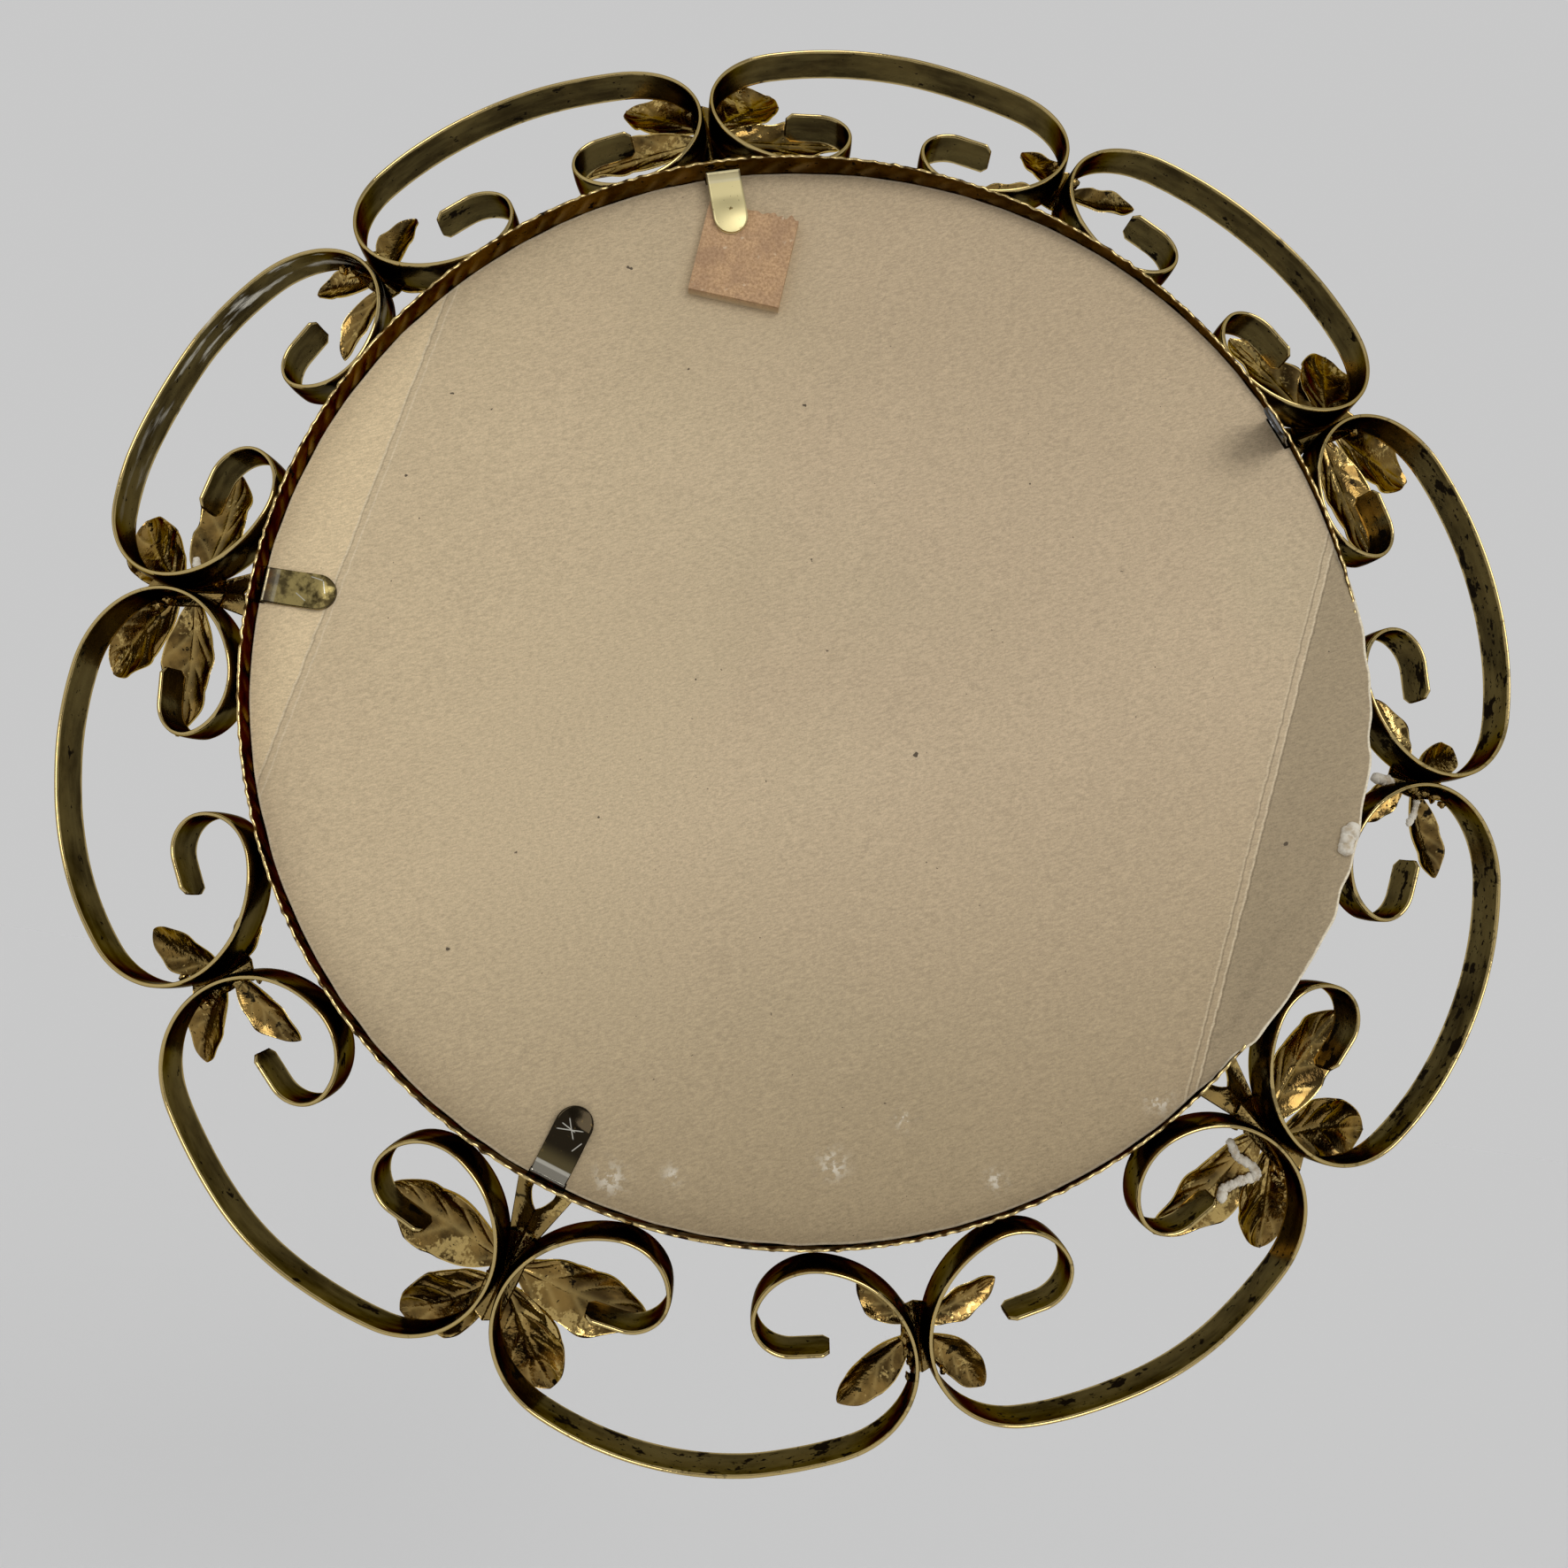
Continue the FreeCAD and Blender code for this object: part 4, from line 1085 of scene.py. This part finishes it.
def clip_metal(name, face, patch, patch_level, patch_fade, olive, band, scratches, rough):
    """Sheet brass: face colour with darker patches above a level, an olive middle, a grey band with a painted
    highlight line at the bend, and scratches."""
    material, tree, shader, coords = new_material(name)
    cloud = noise(coords, 260.0, 4.0, 0.6)
    patches = ramped(cloud, patch_level, patch_level + patch_fade)
    colour = blended(patches, face, patch)
    pits = ramped(noise(coords, 1400.0, 2.0), 0.70, 0.74)
    colour = blended(pits * 0.7, colour, patch)
    along = attribute(tree, "along")
    middle = 1.0 - ramped(along, 0.22, 0.44)
    colour = blended(middle * olive, colour, MIDDLE_OLIVE)
    place = node(tree, "ShaderNodeCombineXYZ", X=along, Y=attribute(tree, "across"))
    for start, end in scratches:
        colour = blended(scratch_mask(place, start, end), colour, SCRATCH_AND_HIGHLIGHT_WHITE)
    bend = 1.0 - ramped(along, BEND_SHARE - 0.03, BEND_SHARE)
    colour = blended(bend * band, colour, BAND_GREY)
    # painted highlight: a bright line across the bend, in the scratches' white
    colour = blended(line_mask(along, BEND_SHARE, 0.035) * band, colour, SCRATCH_AND_HIGHLIGHT_WHITE)
    wire(tree, shader, Base_Color=colour, Metallic=1.0, Roughness=patches * 0.1 + rough)
    bumped(shader, cloud, 0.05, 0.4 * MM)
    return material


# Name, face, patches' colour, level and fade, olive, band, scratches and roughness
CLIP_FINISHES = {
    # The top clip's pale face is a painted bright reflection; the bottom clip's dark face is tarnish and
    # painted dark reflection
    "top": ("clip brass with painted bright reflection", (0.80, 0.69, 0.36), (0.24, 0.17, 0.06), 0.66, 0.05, 0.0, 0.3, (), 0.42),
    "left": ("spotted clip brass", (0.43, 0.335, 0.125), (0.06, 0.043, 0.016), 0.40, 0.20, 0.2, 0.3,
             PALE_SCRATCHES, 0.24),
    "bottom": ("dark clip brass with painted dark reflection", (0.028, 0.021, 0.012), (0.09, 0.06, 0.022), 0.60, 0.05, 0.35, 0.8,
               DARK_SCRATCHES, 0.1),
    "right": ("grey clip brass", (0.10, 0.10, 0.10), (0.03, 0.025, 0.02), 0.55, 0.05, 0.0, 0.5, (), 0.15),
}
CLIP_METALS = {name: clip_metal(*finish) for name, finish in CLIP_FINISHES.items()}


def finger(name):
    """The tongue over (fold to tip, edge to edge): its half width follows a circle at the tip. It is straight
    near the fold, then bowed along and domed across, and turned about the fold by its angle at rest."""
    s = FINGER_LENGTH * np.sin(np.linspace(0, np.pi / 2, FINGER_ALONG))
    s, w = np.meshgrid(s, np.linspace(-1, 1, FINGER_ACROSS), indexing="ij")
    into_tip = np.clip((s - FINGER_LENGTH + FINGER_HALF) / FINGER_HALF, 0, 1)
    across = w * FINGER_HALF * np.sqrt(np.maximum(1 - into_tip ** 2, 0.0004))
    out = np.sin(np.pi * np.clip((s - FINGER_STRAIGHT) / (FINGER_LENGTH - FINGER_STRAIGHT), 0, 1))
    height = (FINGER_BOW[name] + FINGER_DOME * (1 - w ** 2)) * out ** 1.5
    leg_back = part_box("clip_leg_" + name)[1][1]
    fold_depth = RING_BACK - leg_back - CLIP_SEAM - CLIP_SHEET / 2
    angle, turn = math.radians(OPEN_DEGREES.get(name, 0)), math.radians(CLIP_DEGREES[name])
    sheets = []
    for side in (1, -1):
        level = height + side * CLIP_SHEET / 2
        inward = s * math.cos(angle) - level * math.sin(angle)
        lifted = s * math.sin(angle) + level * math.cos(angle)
        sheets.append(from_ring(across, HINGE_RADIUS - inward, fold_depth - lifted, turn))
    values = {"along": s / FINGER_LENGTH, "across": across / FINGER_LENGTH}
    values = {key: np.concatenate([v.ravel(), v.ravel()]) for key, v in values.items()}
    return piece("tongue_" + name, [slab(*sheets)], CLIP_METALS[name], "finger_" + name,
                 ["clip_finger_" + name], values)


for name in CLIP_DEGREES:
    finger(name)
print("clips made")

# %% [markdown]
# ## Packing square, plaster and glass
#
# The square is hardboard with a torn edge under the clip. Traces of white plaster stick to a few joints and
# to the card's edge. The glass and the parts inside the ring keep their CAD shapes.

# %% Small parts
SQUARE_WIDTH = 24.2 * MM
SQUARE_HEIGHT = 27 * MM
SQUARE_TURN = math.radians(-3.5)
SQUARE_CELLS = 70
TORN = 1.6 * MM
TORN_FROM = 0.6
WORN = 0.5 * MM
WORN_FROM = 0.75
GLASS_CLEAR = 118 * MM
GLASS_FOXED = 137 * MM


def hardboard():
    """Orange brown pressed fibre, mottled, with pale scuffs and a lighter cut edge."""
    material, tree, shader, coords = new_material("hardboard")
    fibre = noise(coords, 1300.0, 5.0, 0.7)
    mottle = ramped(noise(coords, 150.0, 4.0, 0.6), 0.38, 0.66)
    scuff = ramped(noise(coords, 330.0, 3.0), 0.66, 0.72)
    colour = blended(ramped(fibre, 0.35, 0.65), (0.35, 0.204, 0.096), (0.57, 0.360, 0.190))
    colour = blended(mottle * 0.5, colour, (0.26, 0.15, 0.085))
    colour = blended(scuff * 0.7, colour, (0.60, 0.46, 0.31))
    colour = blended(attribute(tree, "cut"), colour, (0.55, 0.42, 0.25))
    wire(tree, shader, Base_Color=colour, Roughness=0.8)
    bumped(shader, fibre, 0.4, 0.3 * MM)
    return material


def packing_square():
    """A thin block over (across, up): its top edge is torn back by waves and its face is worn there."""
    a, b = np.meshgrid(np.linspace(-1, 1, SQUARE_CELLS), np.linspace(-1, 1, SQUARE_CELLS), indexing="ij")
    low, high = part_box("packing_square")
    middle = (low + high) / 2
    torn = np.clip((b - TORN_FROM) / (1 - TORN_FROM), 0, 1)
    tear = TORN * (0.6 + 0.22 * ripple(a * np.pi / 2, 17, 2, 24)) * torn
    x, z = a * SQUARE_WIDTH / 2, b * SQUARE_HEIGHT / 2 - np.maximum(tear, 0)
    worn = WORN * np.clip((b - WORN_FROM) / (1 - WORN_FROM), 0, 1)
    worn = worn * (0.5 + 0.5 * ripple(a * np.pi, 13, 3, 9))
    sheets = []
    for y in (high[1] - np.maximum(worn, 0), low[1] + 0 * worn):
        sheets.append(np.stack([middle[0] + x * math.cos(SQUARE_TURN) + z * math.sin(SQUARE_TURN), y,
                                middle[2] - x * math.sin(SQUARE_TURN) + z * math.cos(SQUARE_TURN)], axis=-1))
    cut = np.concatenate([np.zeros(a.size), np.ones(a.size)])
    made = piece("hardboard_square", [slab(*sheets)], HARDBOARD, "mirror", ["packing_square"],
                 {"cut": cut})
    made.data.polygons.foreach_set("use_smooth", np.zeros(len(made.data.polygons), dtype=bool))
    return made


def plaster():
    """White plaster, chalky and a little stained."""
    material, tree, shader, coords = new_material("plaster")
    stain = ramped(noise(coords, 420.0, 4.0), 0.45, 0.7)
    colour = blended(stain, (0.66, 0.61, 0.51), (0.44, 0.36, 0.25))
    wire(tree, shader, Base_Color=colour, Roughness=0.9)
    bumped(shader, noise(coords, 900.0), 0.5, 0.4 * MM)
    return material


# Trails of plaster: half width, then points as right, up and depth, in millimetres
PLASTER = (
    (2.0, (136.0, -21.5, -3.2), (134.8, -24.0, -3.2), (134.6, -26.5, -3.2)),
    (1.5, (152.5, -1.4, 21.4), (156.0, -1.7, 21.6)),
    (0.9, (166.0, -5.0, 26.3), (165.4, -8.6, 26.3), (164.4, -11.1, 26.6)),
    (1.2, (123.1, -99.9, 24.3), (126.0, -103.2, 26.7), (130.5, -105.0, 27.0), (131.8, -107.1, 27.1),
     (128.0, -109.2, 28.4), (124.5, -111.8, 30.0), (124.3, -114.3, 30.1)),
    (1.2, (-165.0, 9.1, 27.2), (-164.0, 7.1, 26.1)),
)
TRAIL_STEP = 0.55 * MM
FIRST_TRAIL_SEED = 70
SEEDS_PER_TRAIL = 20


def trail(half, points, seed):
    """Overlapping lumps along a broken line."""
    points = np.array(points) * MM
    run = np.concatenate([[0], np.cumsum(np.linalg.norm(np.diff(points, axis=0), axis=1))])
    at = np.linspace(0, run[-1], max(int(run[-1] / TRAIL_STEP), 2))
    right, up, depth = (np.interp(at, run, points[:, k]) for k in range(3))
    places = np.stack([-right, RING_BACK - depth, AXIS_HEIGHT + up], axis=1)
    sizes = half * MM * np.random.default_rng(seed).uniform(0.8, 1.15, (len(at), 3)) * (1, 0.8, 1)
    return [lump(place, size, seed + k, 0.12) for k, (place, size) in enumerate(zip(places, sizes))]


def silvered():
    """Silvered glass, a little dark with age, with specks and a duller silver towards its rim."""
    material, tree, shader, coords = new_material("silvered glass")
    across = node(tree, "ShaderNodeSeparateXYZ", "X", Vector=coords)
    up = node(tree, "ShaderNodeSeparateXYZ", "Z", Vector=coords) - AXIS_HEIGHT
    rim = ramped(maths("SQRT", across * across + up * up), GLASS_CLEAR, GLASS_FOXED)
    specks = rim * ramped(noise(coords, 340.0, 4.0), 0.60, 0.64)
    colour = blended(rim * 0.5, (0.80, 0.82, 0.82), (0.55, 0.55, 0.52))
    colour = blended(specks, colour, (0.20, 0.18, 0.15))
    dull = noise(coords, 30.0) * 0.04 + specks * 0.3
    wire(tree, shader, Base_Color=colour, Metallic=1.0, Roughness=dull)
    return material


HARDBOARD = hardboard()
packing_square()
traces = []
for index, (half, *points) in enumerate(PLASTER):
    traces += trail(half, points, FIRST_TRAIL_SEED + SEEDS_PER_TRAIL * index)
piece("plaster_traces", traces, plaster(), "mirror")

finishes = {"mirror_glass": silvered(), "packing_ring": HARDBOARD}
finishes.update({"clip_leg_" + name: metal for name, metal in CLIP_METALS.items()})
for name, material in finishes.items():
    mesh = nodes[name].data
    mesh.materials.clear()
    mesh.materials.append(material)
print("small parts finished")

# %% [markdown]
# ## Camera, light and floor
#
# The camera stands behind the mirror and a little below its middle, close enough for strong perspective.
# Wide soft suns light it evenly, mostly from the right of the picture, so that the floor has one tone.

# %% Camera
CAMERA_PLACE = np.array([6.1, 315.96, -89.5]) * MM
CAMERA_RIGHT = Vector((-0.9882, 0.0404, 0.1479))
CAMERA_UP = Vector((0.1528, 0.1775, 0.9722))
FOCAL_PIXELS = 1500
PICTURE_PIXELS = 1772
SENSOR = 36.0

camera = bpy.data.objects.new("camera", bpy.data.cameras.new("camera"))
bpy.context.scene.collection.objects.link(camera)
camera.data.sensor_width = SENSOR
camera.data.lens = SENSOR * FOCAL_PIXELS / PICTURE_PIXELS
camera.data.clip_start = 0.01
away = CAMERA_RIGHT.cross(CAMERA_UP).normalized()
basis = Matrix((CAMERA_RIGHT, CAMERA_UP, away)).transposed().to_4x4()
basis.translation = Vector((CAMERA_PLACE[0], RING_BACK + CAMERA_PLACE[1], AXIS_HEIGHT + CAMERA_PLACE[2]))
camera.matrix_world = basis
bpy.context.scene.camera = camera

# %% Light, floor and background
FLOOR_DROP = 0.25
FLOOR_REACH = 40.0
SKY_LIGHT = 0.50
BACKDROP = 0.58
ROOM = 0.27
FLOOR_TONE = 0.735


def sun(name, travel, strength, spread, mirrored=True):
    """Soft sunlight that travels one way; a wide spread gives soft shadows. The glass needn't mirror it."""
    data = bpy.data.lights.new(name, "SUN")
    data.energy = strength
    data.angle = math.radians(spread)
    lamp = bpy.data.objects.new(name, data)
    bpy.context.scene.collection.objects.link(lamp)
    lamp.rotation_euler = Vector(travel).to_track_quat("-Z", "Y").to_euler()
    lamp.visible_glossy = mirrored


sun("window", (0.42, -0.95, -0.30), 1.3, 40)
sun("pane", (0.55, -0.8, 0.25), 0.35, 8)
sun("fill", (-0.8, -0.9, -0.3), 0.35, 80)
sun("front", (-0.4, 1.0, -0.6), 0.9, 50, mirrored=False)

floor_mesh = bpy.data.meshes.new("floor")
level = cad_low[2] - FLOOR_DROP
corners = [(x * FLOOR_REACH, y * FLOOR_REACH, level) for x, y in ((-1, -1), (1, -1), (1, 1), (-1, 1))]
floor_mesh.from_pydata(corners, [], [(0, 1, 2, 3)])
floor = bpy.data.objects.new("floor", floor_mesh)
bpy.context.scene.collection.objects.link(floor)
floor_paint, floor_tree, floor_shader, _ = new_material("pale floor")
wire(floor_tree, floor_shader, Base_Color=(FLOOR_TONE, FLOOR_TONE, FLOOR_TONE, 1), Roughness=1.0,
     Specular_IOR_Level=0.0)
floor_mesh.materials.append(floor_paint)

world = bpy.data.worlds.new("studio")
bpy.context.scene.world = world
world.use_nodes = True
sky = world.node_tree
at_camera, at_gloss, through_glass = (node(sky, "ShaderNodeLightPath", f"Is {kind} Ray")
                                      for kind in ("Camera", "Glossy", "Transmission"))
seen = maths("MAXIMUM", maths("MAXIMUM", at_camera, at_gloss), through_glass)
tone = blended(seen, (SKY_LIGHT,) * 3, (BACKDROP,) * 3)
towards = node(sky, "ShaderNodeTexCoord", "Generated")
backwards = node(sky, "ShaderNodeSeparateXYZ", "Y", Vector=towards)
room = blended(ramped(backwards, -0.15, 0.6), (BACKDROP,) * 3, (ROOM,) * 3)
wire(sky, sky.nodes["Background"], Color=blended(at_gloss, tone, room))
bpy.context.scene.view_settings.view_transform = "Standard"
